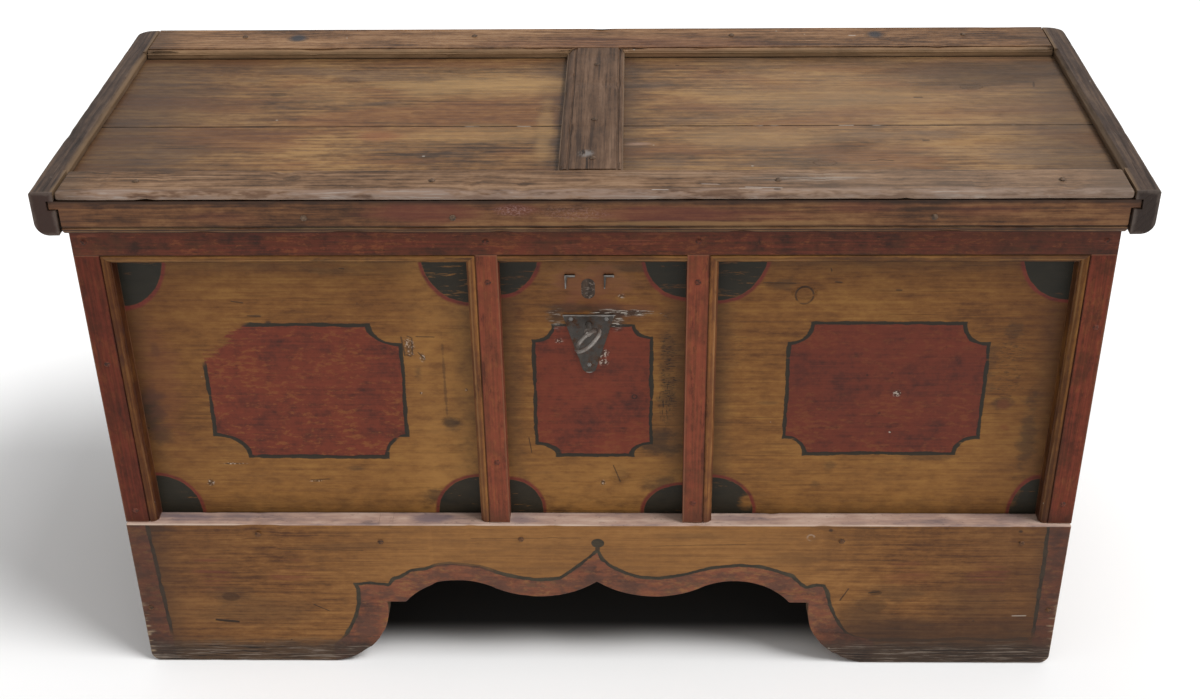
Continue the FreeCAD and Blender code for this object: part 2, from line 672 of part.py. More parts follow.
def cleat(label, side):
    """An end cleat: grooved for the tongues, round below, round in plan at the back."""
    body = new_body(label, y=NOSING)
    inner, outer = d.cleat_face, d.cleat_face + d.cleat_thickness
    top = d.lid_top + d.lid_strip
    low = top - d.cleat_height
    groove_low = d.lid_top - d.tongue_thickness - d.joint_gap
    groove_high = d.lid_top + d.joint_gap
    outline = Outline(inner, low, lambda u, v: (side * u, v))
    outline.line(outer - d.cleat_round, low)
    outline.round(outer - d.cleat_round, low + d.cleat_round, outer, low + d.cleat_round)
    outline.line(outer, top - d.cleat_edge)
    outline.round(outer - d.cleat_edge, top - d.cleat_edge, outer - d.cleat_edge, top)
    outline.lines(((inner, top), (inner, groove_high), (inner + d.groove_depth, groove_high),
                   (inner + d.groove_depth, groove_low), (inner, groove_low)))
    pad(body, "XZ_Plane", outline.close(), "lid_overhang + carcass_depth")
    doc.recompute()
    length = d.lid_overhang + d.carcass_depth
    radius = d.cleat_back_round
    corner = Outline(outer - radius, length, lambda u, v: (side * u, v))
    corner.round(outer - radius, length - radius, outer, length - radius)
    corner.lines(((outer + 1, length - radius), (outer + 1, length + 1), (outer - radius, length + 1)))
    pocket(body, "XY_Plane", corner.close(), "rim_height * 2", forward=True)
    chamfer = polygon(((inner - 1, top - d.cleat_chamfer - 1), (inner + d.cleat_chamfer + 1, top + 1),
                       (inner - 1, top + 1)), lambda u, v: (side * u, v))
    pocket(body, "XZ_Plane", chamfer,
           "lid_overhang + carcass_depth - front_strip_width - back_strip_width", "front_strip_width")


# ---------------------------------------------------------------- hinges


def knuckle_row(x_starts, length, bore):
    """Knuckles in a row on the hinge axis, bored for the pin."""
    row = []
    for start in x_starts:
        base = FreeCAD.Vector(start, d.axis_y, d.axis_z)
        along = FreeCAD.Vector(1, 0, 0)
        row.append(Part.makeCylinder(d.knuckle_radius, length, base, along)
                   .cut(Part.makeCylinder(bore, length, base, along)))
    return row


def flat_iron(points, bulge, normal_axis, thickness):
    """A flat plate from a straight-sided outline whose far end is round.

    points are two corners at the root and two at the tip, and bulge is the middle of the tip.
    """
    first, second, third, fourth = points
    wire = Part.Wire([Part.makeLine(first, second), Part.makeLine(second, third),
                      Part.Arc(third, bulge, fourth).toShape(), Part.makeLine(fourth, first)])
    return Part.Face(wire).extrude(normal_axis * thickness)


def add_feature(label, shape, x="0", y="0", z="0"):
    """A sub-part whose shape is made with Part's own functions, then put in its place."""
    feature = doc.addObject("Part::Feature", label)
    feature.Label = label
    feature.Shape = shape
    feature.Placement = FreeCAD.Placement()
    place(feature, x, y, z)
    finished.append(feature)


def hinge(name, middle):
    """A strap hinge: strap under the lid, leaf on the back, and the pin between them."""
    vec = FreeCAD.Vector
    bore = d.pin_radius + d.pin_play
    half = d.strap_width / 2
    low = d.underside - d.strap_thickness
    tip_y = d.back - d.strap_reach
    tip = d.strap_tip / 2
    strap = flat_iron((vec(middle + half, d.axis_y, low), vec(middle - half, d.axis_y, low),
                       vec(middle - tip, tip_y, low), vec(middle + tip, tip_y, low)),
                      vec(middle, tip_y - tip, low), vec(0, 0, 1), d.strap_thickness)
    pin_hole = Part.makeCylinder(bore, d.strap_width, vec(middle - half, d.axis_y, d.axis_z), vec(1, 0, 0))
    strap = strap.fuse(knuckle_row((middle - half,), d.strap_width, bore)).cut(pin_hole)
    add_feature(name + "_hinge_strap", strap.removeSplitter())

    outer = half + d.knuckle_play + d.leaf_knuckle
    foot = d.axis_z - d.leaf_height
    leaf = flat_iron((vec(middle - outer, d.back, d.axis_z), vec(middle + outer, d.back, d.axis_z),
                      vec(middle + outer, d.back, foot), vec(middle - outer, d.back, foot)),
                     vec(middle, d.back, foot - outer / 2), vec(0, 1, 0), d.strap_thickness)
    starts = (middle - outer, middle + half + d.knuckle_play)
    leaf = leaf.fuse(knuckle_row(starts, d.leaf_knuckle, bore))
    gap = half + d.knuckle_play
    space = Part.makeBox(2 * gap, 4 * d.knuckle_radius, 4 * d.knuckle_radius,
                         vec(middle - gap, d.back - 1, d.axis_z - d.knuckle_radius - d.seat_gap))
    pin_hole = Part.makeCylinder(bore, 2 * outer, vec(middle - outer, d.axis_y, d.axis_z), vec(1, 0, 0))
    add_feature(name + "_hinge_leaf", leaf.cut([space, pin_hole]).removeSplitter())

    reach = outer + d.pin_play + d.pin_head_length
    pin = Part.makeCylinder(d.pin_radius, 2 * reach, vec(middle - reach, d.axis_y, d.axis_z), vec(1, 0, 0))
    heads = []
    for start in (middle - reach, middle + reach - d.pin_head_length):
        base = vec(start, d.axis_y, d.axis_z)
        heads.append(Part.makeCylinder(d.pin_head, d.pin_head_length, base, vec(1, 0, 0)))
    add_feature(name + "_hinge_pin", pin.fuse(heads).removeSplitter())


# ---------------------------------------------------------------- lock


def lock_plate():
    """The plate on the inside of the front board, with the keyhole and two staple holes."""
    body = new_body("lock_plate", "lock_place - plate_width / 2", BOARD_FACE + " + board_thickness",
                    "key_height - plate_foot")
    height = "plate_foot + rim_height - plate_rim - key_height"
    extrude(body, rectangle(body, "XZ_Plane", "plate_width", height), "plate_thickness")
    doc.recompute()
    middle = d.plate_width / 2
    holes = key_opening(middle, d.plate_foot) + clinch_holes(middle, d.plate_foot)
    pocket(body, "XZ_Plane", holes, "plate_thickness")


def lock_case():
    """The pan over the lock's works: a bearing hole for the key, a slot for the staple."""
    wall = d.plate_thickness
    body = new_body("lock_case", "lock_place - plate_width / 2 + plate_thickness",
                    BOARD_FACE + " + board_thickness + plate_thickness",
                    "key_height - plate_foot + plate_thickness")
    height = "plate_foot + rim_height - plate_rim - key_height - 2 * plate_thickness"
    width = "plate_width - 2 * plate_thickness"
    extrude(body, rectangle(body, "XZ_Plane", width, height), "case_depth + plate_thickness")
    doc.recompute()
    wide = d.plate_width - 2 * wall
    tall = d.plate_top - d.plate_bottom - 2 * wall
    hollow = polygon(((wall, wall), (wide - wall, wall), (wide - wall, tall - wall), (wall, tall - wall)))
    pocket(body, "XZ_Plane", hollow, "case_depth")
    bearing = circle(wide / 2, d.plate_foot - wall, d.shank_radius + d.bearing_play)
    pocket(body, "XZ_Plane", bearing, "case_depth + 2 * plate_thickness")
    middle = wide / 2 + d.staple_place
    reach = d.staple_bar / 2 + d.slot_play
    near = d.bolt_middle - d.plate_back - d.staple_eye / 2 - d.staple_leg - d.slot_play
    far = d.bolt_middle - d.plate_back + d.staple_eye / 2 + d.staple_leg + d.slot_play
    slot = polygon(((middle - reach, max(near, -1)), (middle + reach, max(near, -1)),
                    (middle + reach, far), (middle - reach, far)))
    pocket(body, "XY_Plane", slot, "3 * plate_thickness",
           height + " - 2 * plate_thickness", forward=True)


def bolt_tail_notch():
    """Where the notch lies along the bolt, from the key's axis, while unlocked."""
    return d.bolt_travel / math.radians(d.key_turn) * math.radians(d.key_rest)


def lock_bolt():
    """The bolt: a notched tail over the key, a riser, and the head that enters the staple."""
    body = new_body("lock_bolt", "lock_place", y=BOARD_FACE
                    + " + board_thickness + plate_thickness + bolt_lift")
    low = d.key_height + d.tail_rise
    top = low + d.tail_bar
    right = d.riser_place + d.riser_width
    head_end = d.staple_place + d.staple_bar / 2 + d.staple_head
    notch = bolt_tail_notch()
    left_side, right_side = notch - d.notch_width / 2, notch + d.notch_width / 2
    outline = polygon((
        (-d.tail_reach, low), (left_side, low), (left_side, low + d.notch_depth),
        (right_side, low + d.notch_depth), (right_side, low), (right, low),
        (right, d.head_low + d.head_height), (head_end, d.head_low + d.head_height),
        (head_end, d.head_low), (d.riser_place, d.head_low), (d.riser_place, top),
        (-d.tail_reach, top)))
    pad(body, "XZ_Plane", outline, "bolt_thickness")


def keeper(x, low, high):
    """A bridge on the lock plate that the bolt slides through."""
    box = Part.makeBox(d.keeper_width,
                       d.bolt_lift + d.bolt_thickness + d.bolt_play + d.keeper_wall,
                       high - low + 2 * (d.bolt_play + d.keeper_wall),
                       FreeCAD.Vector(x, d.plate_back, low - d.bolt_play - d.keeper_wall))
    hole = Part.makeBox(d.keeper_width, d.bolt_thickness + 2 * d.bolt_play, high - low + 2 * d.bolt_play,
                        FreeCAD.Vector(x, d.bolt_front - d.bolt_play, low - d.bolt_play))
    return box.cut(hole)


def bolt_keepers():
    """Two keepers: round the bolt's tail, and round its head between staple and riser."""
    tail_low = d.key_height + d.tail_rise
    locked_riser = d.lock_place + d.riser_place - d.bolt_travel
    tail = keeper(d.lock_place - d.tail_reach + d.keeper_width / 2, tail_low, tail_low + d.tail_bar)
    head = keeper(locked_riser - d.keeper_wall - d.keeper_width, d.head_low, d.head_low + d.head_height)
    add_feature("bolt_keepers", Part.makeCompound([tail, head]))


def lid_staple():
    """The staple on the lid's underside: a foot plate and a loop that the bolt passes through."""
    body = new_body("lid_staple", "lock_place + staple_place - staple_bar / 2")
    near = d.bolt_middle - d.staple_eye / 2
    far = d.bolt_middle + d.staple_eye / 2
    low = d.underside - d.staple_drop
    leg, radius = d.staple_leg, d.staple_leg
    outline = Outline(near - leg, d.underside)
    outline.line(near - leg, low + radius)
    outline.round(near - leg + radius, low + radius, near - leg + radius, low)
    outline.line(far + leg - radius, low)
    outline.round(far + leg - radius, low + radius, far + leg, low + radius)
    outline.line(far + leg, d.underside)
    loop = outline.close()
    eye = polygon(((near, low + leg), (far, low + leg), (far, low + leg + d.staple_eye_height),
                   (near, low + leg + d.staple_eye_height)))
    pad(body, "YZ_Plane", loop + eye, "staple_bar")
    doc.recompute()
    under = d.underside - d.plate_thickness
    foot = polygon(((near - leg, under), (far + 8 * leg, under),
                    (far + 8 * leg, d.underside), (near - leg, d.underside)))
    extrude(body, sketch(body, "YZ_Plane", foot, "-staple_leg"), "staple_bar + 2 * staple_leg")


def key_bow(centre):
    """The oval hoop of the key, swept in short straight stretches round its centre."""
    bar = d.bow_wire / 2
    across, along = d.bow_width / 2 - bar, d.bow_length / 2 - bar
    steps = [2 * math.pi * step / d.bow_sides for step in range(int(d.bow_sides))]
    corners = [centre + FreeCAD.Vector(0, -along * math.cos(a), across * math.sin(a)) for a in steps]
    start = (corners[0] + corners[-1]) * 0.5
    outwards = (corners[0] - corners[-1]).normalize().cross(FreeCAD.Vector(1, 0, 0))
    radius = bar / math.cos(math.pi / 8)
    section = []
    for step in range(8):
        angle = math.pi * (step + 0.5) / 4
        section.append(start + FreeCAD.Vector(radius * math.cos(angle), 0, 0)
                       + outwards * (radius * math.sin(angle)))
    path = Part.Wire(Part.makePolygon([start] + corners + [start]))
    return path.makePipeShell([Part.makePolygon(section + section[:1])], True, False, 1)


def key():
    """The key at rest: a hoop bow, a round shank and a bit that stands up to the right."""
    vec = FreeCAD.Vector
    forwards = vec(0, 1, 0)
    front = d.front - d.key_reach
    neck = front + d.bow_length - 0.8 * d.bow_wire
    bow = key_bow(vec(0, front + d.bow_length / 2, 0))
    shank = Part.makeCylinder(d.shank_radius, d.case_back - neck, vec(0, neck, 0), forwards)
    collar = Part.makeCone(d.shank_radius * 1.45, d.shank_radius, d.shank_radius * 2,
                           vec(0, neck + d.bow_wire, 0), forwards)
    bit_start = d.bolt_middle - d.bit_length / 2
    bit = Part.makeBox(d.bit_thickness, d.bit_length, d.bit_radius, vec(-d.bit_thickness / 2, bit_start, 0))
    whole = shank.fuse([bow, collar, bit]).removeSplitter()
    feature = doc.addObject("Part::Feature", "key")
    whole.rotate(vec(0, 0, 0), forwards, d.key_rest)
    feature.Shape = whole
    place(feature, "lock_place", "0", "key_height")
    finished.append(feature)


def escutcheon():
    """The iron plate round the keyhole: a straight top and a long taper to a blunt, round tip."""
    body = new_body("escutcheon", "lock_place", BOARD_FACE + " - plate_thickness", "key_height")
    top = d.escutcheon_top
    tip = top - d.escutcheon_height
    wide = d.escutcheon_width / 2
    blunt, blunt_z = d.escutcheon_width * 0.13, tip + d.escutcheon_height * 0.06
    outline = Outline(-wide, top)
    outline.line(wide, top)
    outline.line(blunt, blunt_z)
    outline.arc(0, tip, -blunt, blunt_z)
    pad(body, "XZ_Plane", outline.close() + key_opening(0, 0), "plate_thickness")


def lock_clinches():
    """Two staple ends through the front board, bent over and hammered down outside."""
    ends = []
    half = d.clinch_radius * math.sqrt(0.5)
    wire = 2 * half
    start = d.board_face - wire
    for along in (-d.clinch_left, d.clinch_right):
        x = d.lock_place + along
        z = d.key_height + d.clinch_rise
        corner = FreeCAD.Vector(x - half, start, z - half)
        leg = Part.makeBox(wire, d.plate_back - start, wire, corner)
        bar = Part.makeBox(d.clinch_length, wire, wire, corner)
        low = z - half - d.clinch_drop
        root = [(x - half, d.board_face, z - half), (x + half, d.board_face, z - half),
                (x + half, start, z - half), (x - half, start, z - half)]
        tip = [(x - half, d.board_face, low), (x, d.board_face, low),
               (x, start + half, low), (x - half, start + half, low)]
        bent = frustum([FreeCAD.Vector(*point) for point in root],
                       [FreeCAD.Vector(*point) for point in tip])
        ends.append(leg.fuse([bar, bent]).removeSplitter())
    add_feature("lock_clinches", Part.makeCompound(ends))


def board_plug():
    """The wooden plug above the lock, as thick as the board it fills."""
    body = new_body("board_plug", "lock_place", BOARD_FACE, "key_height + plug_rise")
    pad(body, "XZ_Plane", plug_outline(0, 0), "board_thickness")


# ---------------------------------------------------------------- nails


def ring_of_corners(count, radius, offset, turn=0.0):
    """The corners of a regular polygon round the nail's axis."""
    steps = [2 * math.pi * (step + turn) / count for step in range(count)]
    return [FreeCAD.Vector(radius * math.cos(a), radius * math.sin(a), offset) for a in steps]


def frustum(first, last):
    """A flat-sided solid between two similar outlines, the first one lower along the axis."""
    def face(corners):
        return Part.Face(Part.makePolygon(corners + corners[:1]))
    sides = []
    for here, after in zip(range(len(first)), list(range(1, len(first))) + [0]):
        sides.append(face([first[here], first[after], last[after], last[here]]))
    solid = Part.Solid(Part.Shell([face(first), face(last)] + sides))
    return solid if solid.Volume > 0 else solid.reversed()


def nail_at(x, y, z, towards, size=1.0, length=0.0):
    """A forged nail driven along a direction, its faceted head resting on the surface."""
    half_diagonal = size * math.sqrt(0.5)
    head = frustum(ring_of_corners(6, size * d.nail_head * 0.45, -size * d.nail_dome),
                   ring_of_corners(6, size * d.nail_head, 0))
    shank = frustum(ring_of_corners(4, half_diagonal * d.nail_shank, 0, 0.5),
                    ring_of_corners(4, half_diagonal * d.nail_point, length or d.nail_length, 0.5))
    nail = head.fuse(shank)
    turn = FreeCAD.Rotation(FreeCAD.Vector(0, 0, 1), FreeCAD.Vector(*towards))
    nail.Placement = FreeCAD.Placement(FreeCAD.Vector(x, y, z), turn)
    return nail


INWARDS = (0, 1, 0)
FORWARDS = (0, -1, 0)
DOWN = (0, 0, -1)
UP = (0, 0, 1)


def small_nail(x, y, z, towards):
    """One of the short nails that hold the ironwork."""
    return nail_at(x, y, z, towards, d.small_nail, d.small_nail_length)


def carcass_nails():
    """Nails through the strips and plinth, and through the back boards into the bottom."""
    stile = d.half - d.stile_flat / 2
    muntin = d.muntin_place + d.muntin_flat / 2
    high = d.strip_foot
    low = d.plinth_height
    strips = ((-stile, high - 148), (-stile, low + 18), (stile + 4, high - 97), (stile, low + 30),
              (-muntin, high - 36), (-muntin, low + 93), (muntin, high - 36), (muntin, low + 31))
    rail = high + d.rail_height / 3
    nails = [nail_at(x, d.strip_face, z, INWARDS) for x, z in strips]
    nails += [nail_at(side * x, d.strip_face, rail, INWARDS) for side in (-1, 1) for x in (stile, muntin)]
    plinth = ((-0.72, 0.93), (-0.46, 0.88), (-0.16, 0.9), (0.52, 0.89), (0.9, 0.88),
              (-0.98, 0.4), (0.98, 0.4))
    nails += [nail_at(d.half * x, d.front, d.plinth_height * z, INWARDS) for x, z in plinth]
    floor = d.bottom_height + d.bottom_thickness / 2
    nails += [nail_at(d.half * x / 4, d.back, floor, FORWARDS) for x in (-3, -1, 1, 3)]
    add_feature("carcass_nails", Part.makeCompound(nails))


def lid_nails():
    """Nails through the lid's strips and its fascia."""
    top = d.lid_top + d.lid_strip
    fascia = d.nosing + d.fascia_setback
    middle = d.lid_top - d.fascia_height / 2
    nails = [nail_at(d.half * x, fascia, middle, INWARDS) for x in (-0.54, -0.26, 0.64)]
    across = d.nosing + d.front_strip_width
    span = d.carcass_depth + d.lid_overhang - d.front_strip_width - d.back_strip_width
    nails += [nail_at(0, across + span * share, top, DOWN) for share in (0.08, 0.38, 0.86)]
    front = d.nosing + d.front_strip_width / 2
    nails += [nail_at(d.half * x, front, top, DOWN) for x in (-0.86, -0.3, 0.35, 0.88)]
    back = d.back - d.back_strip_width / 3
    nails += [nail_at(d.half * x, back, top, DOWN) for x in (-0.8, -0.28, 0.3, 0.82)]
    add_feature("lid_nails", Part.makeCompound(nails))


def iron_nails():
    """The short nails of the escutcheon, the hinges and the staple."""
    face = d.board_face - d.plate_thickness
    top = d.key_height + d.escutcheon_top
    spots = ((-0.34, 0.07), (0.34, 0.07), (0, 0.86))
    nails = [small_nail(d.lock_place + x * d.escutcheon_width, face, top - z * d.escutcheon_height, INWARDS)
             for x, z in spots]
    add_feature("escutcheon_nails", Part.makeCompound(nails))

    leaf_face = d.back + d.strap_thickness
    heights = [d.axis_z - share * d.leaf_height for share in (0.35, 0.65, 0.95)]
    nails = [small_nail(side * d.hinge_place + turn * d.strap_width / 4, leaf_face, z, FORWARDS)
             for side in (-1, 1) for turn, z in zip((-1, 1, 0), heights)]
    add_feature("hinge_leaf_nails", Part.makeCompound(nails))

    low = d.underside - d.strap_thickness
    places = [d.back - share * d.strap_reach for share in (0.2, 0.5, 0.8, 1)]
    nails = [small_nail(side * d.hinge_place, y, low, UP) for side in (-1, 1) for y in places]
    foot = d.bolt_middle + d.staple_eye / 2
    nails += [small_nail(d.staple_x, foot + share * d.staple_leg, d.underside - d.plate_thickness, UP)
              for share in (3, 6.5)]
    add_feature("lid_iron_nails", Part.makeCompound(nails))


# ---------------------------------------------------------------- the whole chest


def build():
    """Builds every sub-part."""
    front_board()
    upper = int(d.tail_count) // 2
    back_plank("back_upper_board", int(d.tail_count) - upper, upper)
    back_plank("back_lower_board", upper, 0)
    side_board("left_side", "-body_width / 2", "board_thickness - dado_depth")
    side_board("right_side", "body_width / 2 - board_thickness", "0")
    bottom_boards()
    front_plinth()
    front_top_rail()
    front_upright("left_stile", 1, -d.half, d.stile_flat)
    front_upright("right_stile", -1, d.half, d.stile_flat)
    front_upright("left_muntin", -1, -d.muntin_place, d.muntin_flat)
    front_upright("right_muntin", 1, d.muntin_place, d.muntin_flat)
    rear = NOSING + " + fascia_setback + fascia_thickness"
    lid_board("lid_front_board", "lid_joint - joint_gap", rear)
    behind = "carcass_depth + lid_overhang - fascia_setback - fascia_thickness - lid_joint"
    lid_board("lid_back_board", behind, rear + " + lid_joint")
    lid_front_strip()
    lid_back_strip()
    lid_centre_strip()
    lid_fascia()
    cleat("left_cleat", -1)
    cleat("right_cleat", 1)
    hinge("left", -d.hinge_place)
    hinge("right", d.hinge_place)
    lock_plate()
    lock_case()
    lock_bolt()
    bolt_keepers()
    lid_staple()
    key()
    escutcheon()
    lock_clinches()
    board_plug()
    carcass_nails()
    lid_nails()
    iron_nails()


def check():
    """Stops if an object failed, or if a sub-part is empty or invalid."""
    doc.recompute()
    for item in doc.Objects:
        if "Invalid" in item.State or "Error" in item.State:
            raise ValueError(item.Label + " did not build: " + ", ".join(item.State))
    for piece in finished:
        if piece.Shape.isNull() or not piece.Shape.isValid() or not piece.Shape.Solids:
            raise ValueError(piece.Label + " has no valid solid")


def export():
    """Writes each sub-part to its own file."""
    os.makedirs("parts", exist_ok=True)
    for piece in finished:
        piece.Shape.exportStep("parts/" + piece.Label + ".step")


build()
check()
export()
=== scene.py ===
"""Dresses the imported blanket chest: old paint, worn pine and forged iron, with floor, light and camera."""

import logging
import math
from dataclasses import dataclass, field
from enum import Enum

import bmesh
import bpy
from mathutils import Matrix, Vector, noise


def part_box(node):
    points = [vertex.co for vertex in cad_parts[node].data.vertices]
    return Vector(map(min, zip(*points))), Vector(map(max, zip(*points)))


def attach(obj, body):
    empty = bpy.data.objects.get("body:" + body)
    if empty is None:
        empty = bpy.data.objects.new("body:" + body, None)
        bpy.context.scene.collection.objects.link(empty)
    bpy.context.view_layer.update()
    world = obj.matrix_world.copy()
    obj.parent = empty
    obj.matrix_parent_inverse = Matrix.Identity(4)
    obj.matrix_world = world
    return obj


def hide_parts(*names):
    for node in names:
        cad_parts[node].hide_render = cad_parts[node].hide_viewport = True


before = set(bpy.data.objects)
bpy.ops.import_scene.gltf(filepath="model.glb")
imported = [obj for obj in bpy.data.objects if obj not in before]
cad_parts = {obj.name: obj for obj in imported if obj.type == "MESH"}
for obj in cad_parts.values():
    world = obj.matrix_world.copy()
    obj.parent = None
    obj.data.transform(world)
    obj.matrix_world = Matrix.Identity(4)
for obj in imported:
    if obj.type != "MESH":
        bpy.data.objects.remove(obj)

log = logging.getLogger("blanket_chest")

Rgb = tuple[float, float, float]
Socket = bpy.types.NodeSocket
Colour = Rgb | Socket
Stretch = tuple[float, float, float]

NEXT_TO_NOTHING = 1e-9  # ties one number to another without changing it
MARKS_AT_ONCE = 5  # more marks than this side by side fill the renderer's store of numbers
LEFT_TO_RIGHT, FRONT_TO_BACK = 0, 1  # the ways in which a board can be long


class Field:
    """A number that varies over a surface and takes part in arithmetic."""

    def __init__(self, ground: "Ground", value: Socket | float) -> None:
        """Holds a node's output, or a plain number.

        Args:
            ground: the node tree that the number belongs to.
            value: the output socket, or the number itself.
        """
        self.ground = ground
        self.value = value

    def __add__(self, other: "Field | float") -> "Field":
        """The sum."""
        return self.ground.reckon("ADD", self, other)

    def __sub__(self, other: "Field | float") -> "Field":
        """The difference."""
        return self.ground.reckon("SUBTRACT", self, other)

    def __rsub__(self, other: float) -> "Field":
        """A plain number less this field."""
        return self.ground.reckon("SUBTRACT", other, self)

    def __mul__(self, other: "Field | float") -> "Field":
        """The product."""
        return self.ground.reckon("MULTIPLY", self, other)

    def __truediv__(self, other: "Field | float") -> "Field":
        """The quotient."""
        return self.ground.reckon("DIVIDE", self, other)

    __radd__ = __add__
    __rmul__ = __mul__

    def lesser(self, other: "Field | float") -> "Field":
        """The smaller of the two at each point."""
        return self.ground.reckon("MINIMUM", self, other)

    def greater(self, other: "Field | float") -> "Field":
        """The larger of the two at each point."""
        return self.ground.reckon("MAXIMUM", self, other)

    def size(self) -> "Field":
        """The number without its sign."""
        return self.ground.reckon("ABSOLUTE", self)

    def root(self) -> "Field":
        """The square root."""
        return self.ground.reckon("SQRT", self)

    def fraction(self) -> "Field":
        """What is left of the number past its last whole one."""
        return self.ground.reckon("FRACT", self)

    def diagonal(self, other: "Field") -> "Field":
        """The length of the line whose two legs are this number and another."""
        return self.fused(self, other * other).root()

    def fused(self, factor: "Field | float", add: "Field | float") -> "Field":
        """This number times a factor, with another one added."""
        return self.ground.reckon("MULTIPLY_ADD", self, factor, add)

    def after(self, earlier: "Field") -> "Field":
        """The same number, worked out only when an earlier one is known."""
        return earlier.fused(NEXT_TO_NOTHING, self)

    def step(self, start: float, end: float) -> "Field":
        """A smooth rise from 0 at start to 1 at end; start may be the larger."""
        return self.ground.spread(self, start, end, 0.0, 1.0, smooth=True)

    def spread(self, start: float, end: float, low: float, high: float) -> "Field":
        """A straight rise from low at start to high at end, held outside them."""
        return self.ground.spread(self, start, end, low, high, smooth=False)


class Ground:
    """The node tree of one finish, with the surface's own coordinates in metres."""

    def __init__(self, name: str) -> None:
        """Makes an empty material.

        Args:
            name: the finish's name.
        """
        self.material = bpy.data.materials.new(name)
        self.material.use_nodes = True
        self.tree = self.material.node_tree
        self.tree.nodes.clear()
        self.place = self.tree.nodes.new("ShaderNodeTexCoord").outputs["Object"]
        self.x, self.y, self.z = self.parted(self.place)

    def plug(self, source: "Field | Colour | float", target: Socket) -> None:
        """Joins a field, colour or number to a socket.

        Args:
            source: what the socket is to get.
            target: the input socket.
        """
        value = source.value if isinstance(source, Field) else source
        if isinstance(value, Socket):
            self.tree.links.new(value, target)
        elif isinstance(value, tuple) and target.type == "RGBA":
            target.default_value = (*value, 1.0)
        else:
            target.default_value = value

    def reckon(self, operation: str, *terms: "Field | float") -> Field:
        """Works out one step of arithmetic.

        Args:
            operation: the name of the sum, as the math node has it.
            terms: its one to three numbers.

        Returns:
            The result as a field.
        """
        node = self.tree.nodes.new("ShaderNodeMath")
        node.operation = operation
        for term, target in zip(terms, node.inputs):
            self.plug(term, target)
        return Field(self, node.outputs[0])

    def spread(self, source: Field, start: float, end: float, low: float, high: float, smooth: bool) -> Field:
        """Maps one range of numbers to another.

        Args:
            source: the field to map.
            start: where the result is low.
            end: where the result is high.
            low: the result at start.
            high: the result at end.
            smooth: whether the rise eases in and out.

        Returns:
            The mapped field.
        """
        node = self.tree.nodes.new("ShaderNodeMapRange")
        node.interpolation_type = "SMOOTHSTEP" if smooth else "LINEAR"
        for target, value in zip(node.inputs, (source, start, end, low, high)):
            self.plug(value, target)
        return Field(self, node.outputs[0])

    def parted(self, source: Socket) -> tuple[Field, ...]:
        """The three numbers of a place or a colour.

        Args:
            source: the place or colour.

        Returns:
            Its three numbers as fields.
        """
        node = self.tree.nodes.new("ShaderNodeSeparateXYZ")
        self.tree.links.new(source, node.inputs[0])
        return tuple(Field(self, output) for output in node.outputs)

    def hold(self, earlier: Field) -> None:
        """Lets the coordinates wait for a field, so that the renderer never keeps too many numbers at once.

        Args:
            earlier: the field that is worked out before all that follows.
        """
        node = self.tree.nodes.new("ShaderNodeVectorMath")
        node.operation = "ADD"
        self.tree.links.new(self.place, node.inputs[0])
        self.plug(earlier * NEXT_TO_NOTHING, node.inputs[1])
        self.place = node.outputs[0]
        self.x, self.y, self.z = self.parted(self.place)

    def marked(self, marks: "tuple[Mark, ...]", across: Field, up: Field, ragged: Field) -> Field:
        """Where any of several marks lies.

        Args:
            marks: the stains or scratches.
            across: the coordinate from side to side.
            up: the other coordinate of the face.
            ragged: random patches that break the marks' edges.

        Returns:
            The strongest mark at each point.
        """
        total = marks[0].share(across, up, ragged)
        for count, mark in enumerate(marks[1:], 1):
            if count % MARKS_AT_ONCE == 0:
                across, up = across.after(total), up.after(total)
            total = total.greater(mark.share(across, up, ragged))
        return total

    def stretched(self, stretch: Stretch, seed: float) -> Socket:
        """The surface's place, scaled along each way and shifted by a seed.

        Args:
            stretch: how many units of pattern a metre holds, along x, y and z.
            seed: a shift that gives each pattern its own run.

        Returns:
            The scaled place.
        """
        node = self.tree.nodes.new("ShaderNodeVectorMath")
        node.operation = "MULTIPLY_ADD"
        self.tree.links.new(self.place, node.inputs[0])
        node.inputs[1].default_value = stretch
        node.inputs[2].default_value = (seed * 3.7, seed * 5.3 + 11.0, seed * 2.9 - 7.0)
        return node.outputs[0]

    def cloud(self, stretch: Stretch, seed: float, detail: float = 3.0, rough: float = 0.55) -> Field:
        """Soft random patches.

        Args:
            stretch: patches in a metre along x, y and z.
            seed: which run of the pattern.
            detail: how many finer layers it has.
            rough: how strong the finer layers are.

        Returns:
            A field that is mostly between 0.2 and 0.8.
        """
        return Field(self, self._noise(stretch, seed, detail, rough).outputs[0])

    def drift(self, stretch: Stretch, seed: float) -> tuple[Field, ...]:
        """Three unlike random fields around 0, for bending coordinates.

        Args:
            stretch: bends in a metre along x, y and z.
            seed: which run of the pattern.

        Returns:
            Three fields between about -0.3 and 0.3.
        """
        return tuple(part - 0.5 for part in self.parted(self._noise(stretch, seed, 2.0, 0.5).outputs[1]))

    def _noise(self, stretch: Stretch, seed: float, detail: float, rough: float) -> bpy.types.Node:
        """Makes one noise node on the stretched place.

        Args:
            stretch: patches in a metre along x, y and z.
            seed: which run of the pattern.
            detail: how many finer layers it has.
            rough: how strong the finer layers are.

        Returns:
            The node.
        """
        node = self.tree.nodes.new("ShaderNodeTexNoise")
        self.tree.links.new(self.stretched(stretch, seed), node.inputs["Vector"])
        node.inputs["Scale"].default_value = 1.0
        node.inputs["Detail"].default_value = detail
        node.inputs["Roughness"].default_value = rough
        return node

